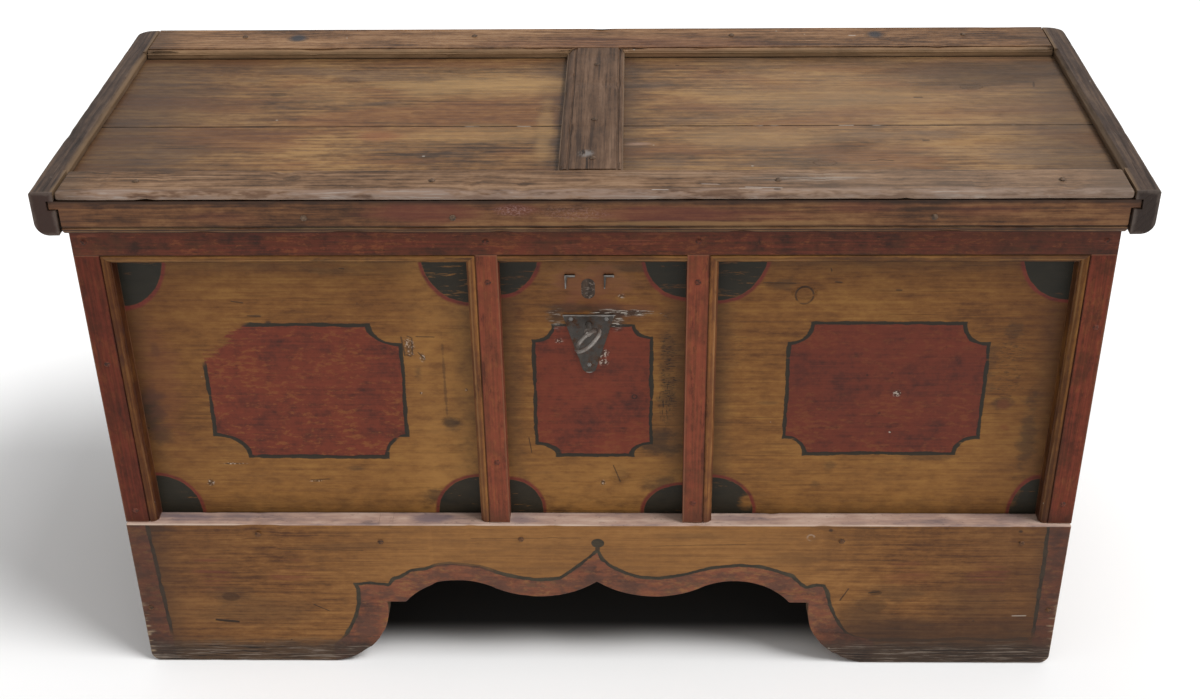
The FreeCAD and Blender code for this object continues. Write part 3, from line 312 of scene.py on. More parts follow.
    def specks(self, stretch: Stretch, seed: float, size: float, share: float) -> Field:
        """Scattered small marks.

        Args:
            stretch: marks in a metre along x, y and z.
            seed: which run of the pattern.
            size: a mark's radius, in parts of the spacing.
            share: the part of the places that have a mark.

        Returns:
            1 inside a mark and 0 outside.
        """
        node = self.tree.nodes.new("ShaderNodeTexVoronoi")
        self.tree.links.new(self.stretched(stretch, seed), node.inputs["Vector"])
        node.inputs["Scale"].default_value = 1.0
        lot, girth, _ = self.parted(node.outputs["Color"])
        chosen = lot.step(share + 0.002, share - 0.002)
        reach = girth.spread(0.0, 1.0, size * 0.45, size)
        return (Field(self, node.outputs["Distance"]) - reach).step(size * 0.12, -size * 0.2) * chosen

    def curve(self, source: Field, points: tuple[tuple[float, float], ...]) -> Field:
        """A field read off a drawn line.

        Args:
            source: the field along the line.
            points: the line's points, from the smallest to the largest, both numbers in metres.

        Returns:
            The line's height at the source, held beyond its ends.
        """
        first, last = points[0][0], points[-1][0]
        low, high = min(p[1] for p in points) - 0.001, max(p[1] for p in points) + 0.001
        node = self.tree.nodes.new("ShaderNodeFloatCurve")
        line = node.mapping.curves[0]
        places = [((a - first) / (last - first), (b - low) / (high - low)) for a, b in points]
        while len(line.points) < len(places):
            line.points.new(0.5, 0.5)
        for spot, place in zip(sorted(line.points, key=lambda p: p.location.x), places):
            spot.location = place
            spot.handle_type = "VECTOR"
        node.mapping.update()
        self.plug(source.spread(first, last, 0.0, 1.0), node.inputs[1])
        return Field(self, node.outputs[0]).spread(0.0, 1.0, low, high)

    def mix(self, under: Colour, over: Colour, share: Field | float) -> Socket:
        """One colour over another.

        Args:
            under: the colour where share is 0.
            over: the colour where share is 1.
            share: how much of the upper colour shows.

        Returns:
            The mixed colour.
        """
        node = self.tree.nodes.new("ShaderNodeMix")
        node.data_type = "RGBA"
        node.clamp_factor = True
        self.plug(share, node.inputs[0])
        self.plug(under, node.inputs[6])
        self.plug(over, node.inputs[7])
        return node.outputs[2]

    def tones(self, source: Field, *stops: tuple[float, Rgb]) -> Socket:
        """A run of colours read by a field.

        Args:
            source: the field that picks the colour.
            stops: each place between 0 and 1 with its colour.

        Returns:
            The colour.
        """
        node = self.tree.nodes.new("ShaderNodeValToRGB")
        band = node.color_ramp.elements
        while len(band) < len(stops):
            band.new(0.5)
        for element, (place, colour) in zip(band, stops):
            element.position = place
            element.color = (*colour, 1.0)
        self.plug(source, node.inputs[0])
        return node.outputs[0]

    def edge(self, *nodes: str, mirrored: bool = False) -> Field:
        """How far a point of a board's face is from the board's nearest arris.

        Args:
            nodes: the board, or several that are taken as one block.
            mirrored: whether the block stands for its twin across the middle too.

        Returns:
            The distance in metres, 0 on the arris.
        """
        boxes = [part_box(node) for node in nodes]
        lo = [min(b[0][i] for b in boxes) for i in range(3)]
        hi = [max(b[1][i] for b in boxes) for i in range(3)]
        spans = []
        for i, line in enumerate((self.x.size() if mirrored else self.x, self.y, self.z)):
            spans.append((hi[i] - lo[i]) / 2 - (line - (hi[i] + lo[i]) / 2).size())
        a, b, c = spans
        return a.lesser(b).greater(a.greater(b).lesser(c))

    def close(
        self, layer: "Layer", depth: float, metal: float = 0.0, gloss: float = 0.5
    ) -> bpy.types.Material:
        """Ends the finish with its shader.

        Args:
            layer: the colour, roughness and height that show.
            depth: how far a height of 1 stands out, in metres.
            metal: 1 for bare metal, 0 for paint and wood.
            gloss: the strength of the plain reflection.

        Returns:
            The finished material.
        """
        shader = self.tree.nodes.new("ShaderNodeBsdfPrincipled")
        out = self.tree.nodes.new("ShaderNodeOutputMaterial")
        bump = self.tree.nodes.new("ShaderNodeBump")
        bump.inputs["Distance"].default_value = depth
        self.plug(layer.height, bump.inputs["Height"])
        self.plug(layer.colour, shader.inputs["Base Color"])
        self.plug(layer.rough, shader.inputs["Roughness"])
        shader.inputs["Metallic"].default_value = metal
        shader.inputs["Specular IOR Level"].default_value = gloss
        self.tree.links.new(bump.outputs[0], shader.inputs["Normal"])
        self.tree.links.new(shader.outputs[0], out.inputs["Surface"])
        return self.material


@dataclass
class Layer:
    """What shows on a surface: its colour, its roughness and its height in parts of the finish's depth."""

    ground: Ground
    colour: Colour
    rough: Field
    height: Field

    def under(self, other: "Layer", share: Field) -> "Layer":
        """This layer with another over it.

        Args:
            other: the layer on top.
            share: where the upper layer covers.

        Returns:
            The joined layer.
        """
        g = self.ground
        return Layer(
            g,
            g.mix(self.colour, other.colour, share),
            self.rough + (other.rough - self.rough) * share,
            self.height + (other.height - self.height) * share,
        )

    def stained(self, colour: Rgb, share: Field, rise: float = 0.0, rough: float = 0.0) -> "Layer":
        """This layer with a stain, scratch or line on it.

        Args:
            colour: the stain's colour.
            share: how strong it is at each point.
            rise: what it adds to the height.
            rough: what it adds to the roughness.

        Returns:
            The stained layer.
        """
        return Layer(
            self.ground,
            self.ground.mix(self.colour, colour, share),
            self.rough + share * rough if rough else self.rough,
            self.height + share * rise if rise else self.height,
        )


class Grain(Enum):
    """Which way a board's fibres run, then the way across its face, then its depth."""

    FRONT_LEVEL = "xzy"
    FRONT_UPRIGHT = "zxy"
    TOP_LEVEL = "xyz"
    TOP_DEEP = "yxz"
    SIDE_LEVEL = "yzx"


@dataclass(frozen=True)
class Knot:
    """A knot in a board: where it lies along and across, and its radius, in metres."""

    along: float
    across: float
    radius: float
    dark: float = 0.8


@dataclass
class Figure:
    """The look of the sawn wood: rings, fibres, pores, knots and fine dark threads, each from 0 to 1."""

    rings: Field
    fibres: Field
    pores: Field
    knots: Field
    threads: Field


@dataclass(frozen=True)
class Timber:
    """How a board was sawn from its tree."""

    grain: Grain
    heart: float = 0.1
    behind: float = 0.06
    ring: float = 0.0075
    wander: float = 0.05
    knots: tuple[Knot, ...] = ()
    seed: float = 0.0

    def scaled(self, along: float, across: float, depth: float) -> Stretch:
        """Counts per metre along, across and through the board, put in the order x, y, z."""
        counts = dict(zip(self.grain.value, (along, across, depth)))
        return counts["x"], counts["y"], counts["z"]

    def saw(self, g: Ground) -> Figure:
        """Draws the figure of the wood.

        Args:
            g: the finish that it is drawn in.

        Returns:
            Its rings, fibres, pores, knots and threads.
        """
        u, v, w = (getattr(g, letter) for letter in self.grain.value)
        swell = g.cloud(self.scaled(1.1, 3.0, 3.0), self.seed + 1.0, 2.0)
        v = v + (swell - 0.5) * self.wander
        spot = u * 0.0
        near = None
        for knot in self.knots:
            du, dv = (u - knot.along) * 0.6, v - knot.across
            reach = du.diagonal(dv)
            pull = reach.step(knot.radius * 4.5, 0.0)
            v = v + dv * pull * 0.8
            core = reach.step(knot.radius * 1.15, knot.radius * 0.75) * knot.dark
            spot = spot.greater(core)
            near = reach.lesser(near) if near else reach
        across, through = v - self.heart, w + self.behind
        radius = across.diagonal(through)
        if near is not None:
            radius = radius + (near * 1.3 - radius) * spot.step(0.0, 0.3)
        drifting = g.cloud(self.scaled(2.2, 9.0, 9.0), self.seed + 2.0, 4.0, 0.7)
        count = radius * (1.0 / self.ring) + drifting * 4.5
        turn = count.fraction()
        rings = turn.step(0.1, 0.85) * turn.step(1.0, 0.9)
        fibres = g.cloud(self.scaled(6.0, 230.0, 230.0), self.seed + 3.0, 5.0, 0.72)
        pores = g.cloud(self.scaled(26.0, 900.0, 900.0), self.seed + 4.0, 2.0, 0.6)
        bundle = g.cloud(self.scaled(5.0, 40.0, 40.0), self.seed + 7.0, 2.0, 0.6).step(0.4, 0.62)
        threads = g.cloud(self.scaled(11.0, 330.0, 330.0), self.seed + 8.0, 3.0, 0.65)
        return Figure(rings, fibres, pores, spot, threads.step(0.53, 0.68) * bundle)


@dataclass(frozen=True)
class OldFinish:
    """Thin old paint or bare wood through which the grain shows: three tones, and how strong the grain is."""

    deep: Rgb
    mid: Rgb
    light: Rgb
    rough: float = 0.55
    rings: float = 0.25
    fibres: float = 0.4
    clouds: float = 0.9
    relief: float = 1.0
    cloud_size: Stretch = (5.0, 18.0, 18.0)
    mottle: float = 0.5
    threads: float = 0.45
    streaks: float = 0.65

    def lay(self, g: Ground, timber: Timber, figure: Figure) -> Layer:
        """Lays the finish on a board.

        Args:
            g: the finish's node tree.
            timber: how the board was sawn.
            figure: its rings, fibres, pores and knots.

        Returns:
            The finish as a layer.
        """
        patches = g.cloud(timber.scaled(*self.cloud_size), timber.seed + 5.0, 5.0, 0.66)
        streaks = g.cloud(timber.scaled(6.0, 190.0, 190.0), timber.seed + 6.0, 4.0, 0.74)
        blots = g.cloud(timber.scaled(55.0, 110.0, 110.0), timber.seed + 9.0, 4.0, 0.72)
        tone = (
            (patches - 0.5) * self.clouds
            + (streaks - 0.5) * self.streaks
            + (figure.fibres - 0.5) * (self.fibres * 2.2)
            + (blots - 0.5) * self.mottle
            - (figure.rings - 0.35) * self.rings
            + 0.5
        )
        colour = g.tones(tone, (0.16, self.deep), (0.5, self.mid), (0.84, self.light))
        colour = g.mix(colour, tuple(c * 0.45 for c in self.deep), figure.threads * self.threads)
        colour = g.mix(colour, tuple(c * 0.35 for c in self.deep), figure.knots * 0.75)
        rough = (figure.fibres - 0.5) * 0.25 + (patches - 0.5) * 0.2 + self.rough
        height = (
            figure.rings * 0.3 * self.relief
            + figure.fibres * 0.9 * self.relief
            + figure.pores * 0.3 * self.relief
            - figure.threads * 0.3
            + patches * 0.5
        )
        return Layer(g, colour, rough, height)


@dataclass(frozen=True)
class RedPaint:
    """Dull red earth paint, brushed on thin, mottled dark and flecked where the ochre below shows through."""

    base: Rgb = (0.15, 0.03, 0.014)
    dark: Rgb = (0.062, 0.016, 0.01)
    fleck: Rgb = (0.245, 0.085, 0.024)
    flecks: float = 0.6
    seed: float = 40.0

    def lay(self, g: Ground, timber: Timber, figure: Figure, show: Field | float = 1.0) -> Layer:
        """Lays the paint on a board.

        Args:
            g: the finish's node tree.
            timber: how the board was sawn.
            figure: its rings, fibres, pores and knots.
            show: how much of the ground shows through, 1 for as much as this paint lets.

        Returns:
            The paint as a layer.
        """
        patches = g.cloud((15.0, 15.0, 15.0), self.seed, 5.0, 0.68)
        worn = g.cloud(timber.scaled(80.0, 190.0, 190.0), self.seed + 1.0, 4.0, 0.7)
        spots = g.cloud((60.0, 60.0, 60.0), self.seed + 2.0, 4.0, 0.7)
        tone = (patches - 0.5) + (figure.fibres - 0.5) * 0.8 + (spots - 0.5) * 0.9 + 0.5
        bright = tuple(c * 1.25 for c in self.base)
        colour = g.tones(tone, (0.2, self.dark), (0.5, self.base), (0.85, bright))
        bare = (worn + (patches - 0.5) * 0.6).step(0.51, 0.7) * self.flecks * show
        colour = g.mix(colour, self.fleck, bare)
        colour = g.mix(colour, tuple(c * 0.6 for c in self.dark), spots.step(0.62, 0.76) * 0.4)
        rough = (patches - 0.5) * 0.25 + 0.58
        height = figure.fibres * 0.6 + figure.pores * 0.25 + patches * 0.6 - bare * 0.4 + 0.15
        return Layer(g, colour, rough, height)


class Mark:
    """A mark on a flat face."""

    @classmethod
    def table(cls, *rows: tuple) -> "tuple[Mark, ...]":
        """Several marks, each from its row of numbers."""
        return tuple(cls(*row) for row in rows)

    def share(self, across: Field, up: Field, ragged: Field) -> Field:
        """Where the mark lies.

        Args:
            across: the coordinate from side to side.
            up: the other coordinate of the face.
            ragged: random patches that break the mark's edge.

        Returns:
            The mark's strength at each point.
        """
        raise NotImplementedError


@dataclass(frozen=True)
class Stain(Mark):
    """A soft-edged mark: its middle, its half widths and its strength."""

    across: float
    up: float
    wide: float
    high: float
    strength: float = 0.7
    ragged: float = 0.8

    def share(self, across: Field, up: Field, ragged: Field) -> Field:
        """Where the mark lies.

        Args:
            across: the coordinate from side to side.
            up: the other coordinate of the face.
            ragged: random patches that break the mark's edge.

        Returns:
            The mark's strength at each point.
        """
        dx = across.fused(1.0 / self.wide, -self.across / self.wide)
        dz = up.fused(1.0 / self.high, -self.up / self.high)
        reach = ragged.fused(2.0 * self.ragged, dx.diagonal(dz))
        return dx.ground.spread(
            reach, 1.15 + self.ragged, 0.35 + self.ragged, 0.0, self.strength, smooth=True
        )


@dataclass(frozen=True)
class Scratch(Mark):
    """A thin straight mark from one point of a face to another."""

    start: tuple[float, float]
    end: tuple[float, float]
    width: float = 0.0008
    strength: float = 0.8

    def share(self, across: Field, up: Field, ragged: Field) -> Field:
        """Where the scratch lies.

        Args:
            across: the coordinate from side to side.
            up: the other coordinate of the face.
            ragged: random patches that make it thinner and thicker.

        Returns:
            The scratch's strength at each point.
        """
        start, run = Vector(self.start), Vector(self.end) - Vector(self.start)
        ahead = run.normalized()
        along = across.fused(ahead.x, up.fused(ahead.y, -start.dot(ahead) - run.length / 2)).size()
        aside = across.fused(-ahead.y, up.fused(ahead.x, start.x * ahead.y - start.y * ahead.x)).size()
        aside = ragged.fused(self.width * 1.5, aside)
        thin = aside.step(self.width * 1.75, self.width * 1.1)
        half = run.length / 2
        return thin * along.ground.spread(along, half + 0.0015, half - 0.001, 0.0, self.strength, smooth=True)


@dataclass(frozen=True)
class Quadrants:
    """Four numbers, one for each corner of a panel."""

    top_left: float
    top_right: float
    bottom_left: float
    bottom_right: float

    def pick(self, right: Field, top: Field) -> Field:
        """The number of the corner that a point is nearest to.

        Args:
            right: 1 in the right half and 0 in the left.
            top: 1 in the upper half and 0 in the lower.

        Returns:
            The picked number.
        """
        lower = right * (self.bottom_right - self.bottom_left) + self.bottom_left
        upper = right * (self.top_right - self.top_left) + self.top_left
        return lower + (upper - lower) * top


@dataclass(frozen=True)
class Span:
    """A stretch of a face from one place to another."""

    start: float
    end: float

    def past_middle(self, place: Field) -> Field:
        """1 past the middle and 0 before it."""
        return (place - (self.start + self.end) / 2).step(-0.0001, 0.0001)

    def inward(self, place: Field) -> Field:
        """How far inside the stretch a place is, in metres, negative outside."""
        return (self.end - self.start) / 2 - (place - (self.start + self.end) / 2).size()


@dataclass(frozen=True)
class PaintedPanel:
    """One field of the front: its frame, its four dark corner quarters and the red cartouche inside."""

    left: float
    right: float
    corner_wide: Quadrants
    corner_high: Quadrants
    red_left: float
    red_right: float
    red_bottom: float
    red_top: float
    notch_wide: Quadrants
    notch_high: Quadrants
    bottom: float = 0.23
    top: float = 0.6035

    def inside(self, x: Field, z: Field) -> Field:
        """How far inside the cartouche a point is.

        Args:
            x: the point's place from side to side.
            z: its height.

        Returns:
            The distance in metres, negative outside.
        """
        across, up = Span(self.red_left, self.red_right), Span(self.red_bottom, self.red_top)
        right, top = across.past_middle(x), up.past_middle(z)
        in_x, in_z = across.inward(x), up.inward(z)
        wide, high = self.notch_wide.pick(right, top), self.notch_high.pick(right, top)
        cut = ((in_x / wide).diagonal(in_z / high) - 1.0) * wide.lesser(high)
        return in_x.lesser(in_z).lesser(cut)

    def corner(self, x: Field, z: Field) -> Field:
        """How far inside the nearest corner quarter a point is.

        Args:
            x: the point's place from side to side.
            z: its height.

        Returns:
            The distance in metres, negative outside.
        """
        across, up = Span(self.left, self.right), Span(self.bottom, self.top)
        right, top = across.past_middle(x), up.past_middle(z)
        wide, high = self.corner_wide.pick(right, top), self.corner_high.pick(right, top)
        return (1.0 - (across.inward(x) / wide).diagonal(up.inward(z) / high)) * wide.lesser(high)

    def border(self, x: Field, z: Field) -> Field:
        """How far a point is from the panel's frame, in metres, negative outside."""
        return Span(self.left, self.right).inward(x).lesser(Span(self.bottom, self.top).inward(z))


PANELS = (
    PaintedPanel(
        -0.559, -0.1459, Quadrants(0.057, 0.059, 0.056, 0.06), Quadrants(0.073, 0.069, 0.06, 0.059),
        -0.474, -0.234, 0.3155, 0.5085, Quadrants(0.035, 0.037, 0.04, 0.029),
        Quadrants(0.028, 0.028, 0.033, 0.032),
    ),
    PaintedPanel(
        -0.1095, 0.1095, Quadrants(0.049, 0.054, 0.046, 0.054), Quadrants(0.058, 0.062, 0.055, 0.047),
        -0.0728, 0.0684, 0.3187, 0.5075, Quadrants(0.024, 0.021, 0.026, 0.024),
        Quadrants(0.022, 0.018, 0.018, 0.018),
    ),
    PaintedPanel(
        0.1459, 0.559, Quadrants(0.062, 0.063, 0.058, 0.038), Quadrants(0.065, 0.065, 0.058, 0.059),
        0.2345, 0.4735, 0.3215, 0.5108, Quadrants(0.027, 0.032, 0.026, 0.028),
        Quadrants(0.029, 0.029, 0.025, 0.025),
    ),
)

BLACK_GREEN: Rgb = (0.009, 0.01, 0.007)
SOOT: Rgb = (0.018, 0.012, 0.009)
PALE: Rgb = (0.42, 0.36, 0.3)
BARE = OldFinish(
    (0.13, 0.078, 0.042), (0.235, 0.15, 0.082), (0.33, 0.225, 0.13), 0.72, 0.2, 0.5, 0.8, mottle=0.7
)


def clothe(material: bpy.types.Material, *names: str) -> None:
    """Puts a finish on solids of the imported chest.

    Args:
        material: the finish.
        names: the solids that get it.
    """
    for name in names:
        for thing in (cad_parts[name], bpy.data.objects.get("worn_" + name)):
            for place in thing.material_slots if thing else ():
                place.material = material
        log.info("dressed %s in %s", name, material.name)


def begin(name: str, timber: Timber, finish: OldFinish) -> tuple[Ground, Figure, Layer]:
    """Starts a finish on a piece of wood.

    Args:
        name: the finish's name.
        timber: the wood.
        finish: what lies on it first.

    Returns:
        The finish's node tree, the wood's figure and the first layer.
    """
    g = Ground(name)
    figure = timber.saw(g)
    return g, figure, finish.lay(g, timber, figure)


@dataclass(frozen=True)
class WornBoard:
    """A board with round and dented arrises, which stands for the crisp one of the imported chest.

    Its arrises are rounded, it is cut across in short steps, and every point sinks a little, so it
    never leaves the crisp board.
    """

    node: str
    body: str
    slot: str
    along: int = LEFT_TO_RIGHT
    rounding: float = 0.002
    dents: float = 0.0006
    chips: float = 0.003
    seed: float = 0.0
    pitch: float = 0.0075
    corner: float = 40.0

    def build(self) -> None:
        """Makes the worn board and hangs it on its body."""
        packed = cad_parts[self.node]
        data = packed.data.copy()
        data.name = "worn_" + self.node
        shape = bmesh.new()
        shape.from_mesh(data)
        bmesh.ops.remove_doubles(shape, verts=shape.verts, dist=1e-5)
        bmesh.ops.dissolve_limit(shape, angle_limit=0.02, verts=shape.verts, edges=shape.edges)
        self.round_off(shape)
        self.slice(shape)
        shape.normal_update()
        moves = [(vertex, vertex.normal * self.depth(vertex.co)) for vertex in shape.verts]
        for vertex, move in moves:
            vertex.co -= move
        shape.to_mesh(data)
        shape.free()
        piece = bpy.data.objects.new("worn_" + self.node, data)
        bpy.context.scene.collection.objects.link(piece)
        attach(piece, self.body)
        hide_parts(self.node)
        log.info("wore %s down: %d faces", self.node, len(data.polygons))

    def round_off(self, shape: bmesh.types.BMesh) -> None:
        """Rounds the arrises that stand out.

        Args:
            shape: the board's mesh.
        """
        least = math.radians(self.corner)
        arrises = [edge for edge in shape.edges if edge.is_convex and edge.calc_face_angle(0.0) > least]
        made = bmesh.ops.bevel(
            shape, geom=arrises, offset=self.rounding, offset_type="OFFSET", segments=3, profile=0.5,
            affect="EDGES", clamp_overlap=True, material=-1,
        )
        for face in made["faces"]:
            face.smooth = True

    def slice(self, shape: bmesh.types.BMesh) -> None:
        """Cuts the board across its length, so that its arrises can wander.

        Args:
            shape: the board's mesh.
        """
        low, high = (Vector(corner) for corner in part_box(self.node))
        across = Vector([1.0 if axis == self.along else 0.0 for axis in range(3)])
        steps = max(2, round((high - low)[self.along] / self.pitch))
        for step in range(1, steps):
            everything = [*shape.verts, *shape.edges, *shape.faces]
            middle = low.lerp(high, step / steps)
            bmesh.ops.bisect_plane(shape, geom=everything, dist=1e-6, plane_co=middle, plane_no=across)

    def depth(self, place: Vector) -> float:
        """How far a point sinks: slow waves, small dents and a few chips.

        Args:
            place: the point.

        Returns:
            The depth in metres, never negative.
        """
        slow = Vector([c * (9.0 if axis == self.along else 30.0) for axis, c in enumerate(place)])
        quick = Vector([c * (60.0 if axis == self.along else 110.0) for axis, c in enumerate(place)])
        shift = Vector((self.seed, self.seed * 0.7, self.seed * 1.3))
        wave = noise.noise(slow + shift) * 0.5 + 0.5
        dent = noise.noise(quick + shift) * 0.5 + 0.5
        chip = max(0.0, noise.noise(quick * 0.55 - shift) - 0.3)
        return max(0.0, self.dents * (wave + dent * 0.6)) + self.chips * chip


@dataclass
class Front:
    """The painted front: the board behind the three fields, and the rail, stiles and muntins around them."""

    face: float = -0.20865
    line: float = 0.0046
    rim: float = 0.004
    rail_mould: tuple[float, float] = (0.6035, 0.615)
    ochre: OldFinish = OldFinish(
        (0.1, 0.036, 0.0085), (0.196, 0.08, 0.018), (0.28, 0.132, 0.032), 0.52, 0.04, 0.42, 1.1,
        mottle=0.95, streaks=0.32,
    )
    red: RedPaint = RedPaint()
    rim_paint: RedPaint = RedPaint((0.145, 0.026, 0.019), (0.06, 0.014, 0.011), flecks=0.15, seed=47.0)
    board: Timber = Timber(
        Grain.FRONT_LEVEL, 0.36, 0.27, 0.0085, 0.06,
        (Knot(-0.178, 0.367, 0.006, 0.85), Knot(0.249, 0.549, 0.009, 0.25), Knot(0.03, 0.289, 0.008, 0.15)),
        3.0,
    )

    def build(self) -> None:
        """Dresses every solid of the front."""
        self.dress_board()
        self.dress_rail()
        self.dress_uprights()
        self.dress_plug()

    def dress_board(self) -> None:
        """Paints the board's three fields with their cartouches, quarters, stains and scratches."""
        g, figure, bare = begin("ochre_front_board", self.board, BARE)
        layer = self.ochre.lay(g, self.board, figure)
        shake, tremble = g.drift((14.0, 14.0, 14.0), 5.0), g.drift((90.0, 90.0, 90.0), 6.0)
        x = g.x + shake[0] * 0.005 + tremble[0] * 0.0022
        z = g.z + shake[2] * 0.005 + tremble[2] * 0.0022
        ragged = g.cloud((38.0, 38.0, 70.0), 7.0, 4.0, 0.65)
        streak = g.cloud((9.0, 60.0, 190.0), 8.0, 3.0, 0.6)
        border = inside = corner = None
        for panel in PANELS:
            near, within, quarter = panel.border(g.x, g.z), panel.inside(x, z), panel.corner(x, z)
            border = near.greater(border) if border else near
            inside = within.greater(inside) if inside else within
            corner = quarter.greater(corner) if corner else quarter
        g.hold(inside + corner)
        # the fields darken within a few centimetres of their frame
        near_frame_dark = (border + (ragged - 0.5) * 0.03).step(0.034, -0.004) * 0.6
        layer = layer.stained((0.055, 0.03, 0.015), near_frame_dark)
        wide = g.x.step(-0.42, -0.56) * 0.4 + g.x.step(0.42, 0.56) * 0.4 + g.z.step(0.45, 0.61) * 0.22
        layer = layer.stained((0.088, 0.028, 0.007), wide * (streak * 0.8 + 0.6))
        pale = g.z.step(0.42, 0.24) * (1.0 - wide) * 0.35
        pale = pale + g.x.step(-0.25, -0.2) * g.x.step(-0.13, -0.15) * 0.55
        pale = pale + g.x.size().step(0.14, 0.1) * g.z.step(0.33, 0.26) * 0.3
        layer = layer.stained((0.36, 0.172, 0.045), pale * ragged.step(0.15, 0.7))
        layer = self.stains(g, layer, ragged, streak)
        show = g.x.step(-0.12, -0.15) * 0.7 + g.x.step(0.12, 0.15) * 0.3 + g.z.step(0.45, 0.33) * 0.3 + 0.15
        red = self.red.lay(g, self.board, figure, show)
        red = red.stained((0.06, 0.014, 0.01), g.x.step(0.12, 0.15) * 0.28 + g.x.step(0.3, 0.22) * 0.06)
        g.hold(red.height)
        gone = (g.x - g.z).step(-0.922, -0.934)
        fading = (g.x * 0.6 - g.z).step(-0.69, -0.775)
        thin = (ragged * 0.7 + streak * 0.7 - fading * 0.36 - gone * 0.14).step(0.22, 0.42)
        layer = layer.under(red, inside.step(-0.0006, 0.0008) * thin)
        rim = corner.step(-0.0022, 0.0014)
        chipped = (ragged + streak * 0.4).step(0.36, 0.5) * (corner - self.rim).step(0.0006, -0.0006)
        layer = layer.under(self.rim_paint.lay(g, self.board, figure), rim * chipped * 0.92)
        dark = Layer(
            g, g.mix(BLACK_GREEN, (0.022, 0.021, 0.014), ragged), red.rough - 0.06, red.height + 0.15
        )
        quarter = (corner - self.rim).step(-0.0006, 0.0006)
        rubbed = g.x.size().step(0.5, 0.4) * g.z.step(0.4, 0.5) * (g.x.step(0.1, 0.0) * 0.35 + 0.65)
        scraped = (g.cloud((30.0, 30.0, 240.0), 9.0, 4.0, 0.7) + rubbed * 0.07).step(0.62, 0.71) * 0.75
        gnawed = Stain.table((0.193, 0.246, 0.013, 0.014, 1.0, 0.9), (0.52, 0.262, 0.016, 0.034, 0.6, 1.2))
        quarter = quarter * (1.0 - g.marked(gnawed, g.x, g.z, ragged))
        layer = layer.under(dark, quarter * (1.0 - scraped) * 0.96)
        pressed = (ragged - 0.5) * 0.005 + self.line / 2 + g.z.step(0.34, 0.3) * 0.0007
        line = (pressed - inside.size()).step(-0.0006, 0.0006)
        broken = (ragged * 0.5 + streak * 0.7).step(0.38, 0.5) * (1.0 - gone)
        layer = layer.under(dark, line * broken * 0.94)
        g.hold(line)
        layer = self.scars(g, layer, ragged, streak)
        outer = g.y.step(self.face + 0.0016, self.face + 0.0006)
        clothe(g.close(bare.under(layer, outer), 0.00035, gloss=0.2), "front_board")

    def stains(self, g: Ground, layer: Layer, ragged: Field, streak: Field) -> Layer:
        """Lays the soot, grease and knot stains under the ornament.

        Args:
            g: the finish's node tree.
            layer: the finish so far.
            ragged: random patches.
            streak: random streaks along the grain.

        Returns:
            The stained finish.
        """
        soft = Stain.table(
            (-0.55, 0.386, 0.022, 0.04, 0.85), (-0.541, 0.35, 0.016, 0.022, 0.5),
            (-0.179, 0.365, 0.014, 0.013, 0.7), (0.499, 0.395, 0.015, 0.01, 0.55),
            (0.224, 0.563, 0.02, 0.01, 0.45, 1.0), (0.088, 0.44, 0.01, 0.085, 0.35, 1.2),
            (0.415, 0.316, 0.036, 0.007, 0.4, 1.1), (0.294, 0.303, 0.01, 0.008, 0.35, 1.0),
            (0.2767, 0.2755, 0.008, 0.006, 0.4, 1.0), (0.535, 0.35, 0.014, 0.06, 0.5, 1.3),
            (0.08, 0.338, 0.032, 0.022, 0.7), (-0.025, 0.535, 0.018, 0.005, 0.6),
            (-0.006, 0.532, 0.058, 0.008, 0.7), (0.085, 0.272, 0.03, 0.016, 0.6),
            (-0.205, 0.255, 0.018, 0.014, 0.6), (-0.3, 0.582, 0.05, 0.006, 0.3),
            (-0.44, 0.33, 0.04, 0.01, 0.2), (0.035, 0.584, 0.07, 0.006, 0.5), (0.03, 0.29, 0.012, 0.02, 0.2),
            (-0.183, 0.42, 0.002, 0.07, 0.45, 1.2), (-0.39, 0.511, 0.005, 0.004, 0.8, 0.3),
            (-0.304, 0.298, 0.012, 0.005, 0.4), (-0.405, 0.521, 0.01, 0.0025, 0.5),
            (-0.532, 0.473, 0.006, 0.012, 0.4), (0.47, 0.45, 0.02, 0.05, 0.35, 1.4),
            (0.5, 0.5, 0.012, 0.02, 0.4, 1.2), (0.215, 0.397, 0.016, 0.003, 0.4),
            (-0.215, 0.441, 0.006, 0.01, 0.45, 1.2),
        )
        total = g.marked(soft, g.x, g.z, ragged)
        layer = layer.stained((0.034, 0.02, 0.012), total * (streak * 0.8 + 0.6))
        layer = layer.stained(
            (0.34, 0.155, 0.058), Stain(-0.004, 0.57, 0.062, 0.026, 0.45).share(g.x, g.z, ragged)
        )
        g.hold(total)
        rusty = Stain.table(
            (-0.004, 0.56, 0.052, 0.034, 0.75, 0.9), (0.04, 0.53, 0.04, 0.014, 0.5, 0.9),
            (-0.3, 0.44, 0.15, 0.11, 0.12, 0.8), (-0.53, 0.42, 0.03, 0.09, 0.4, 1.1),
        )
        layer = layer.stained((0.15, 0.048, 0.021), g.marked(rusty, g.x, g.z, ragged) * (streak * 0.8 + 0.5))
        dots = g.specks((22.0, 22.0, 30.0), 12.0, 0.055, 0.3)
        return layer.stained(SOOT, dots * 0.7, -0.4)

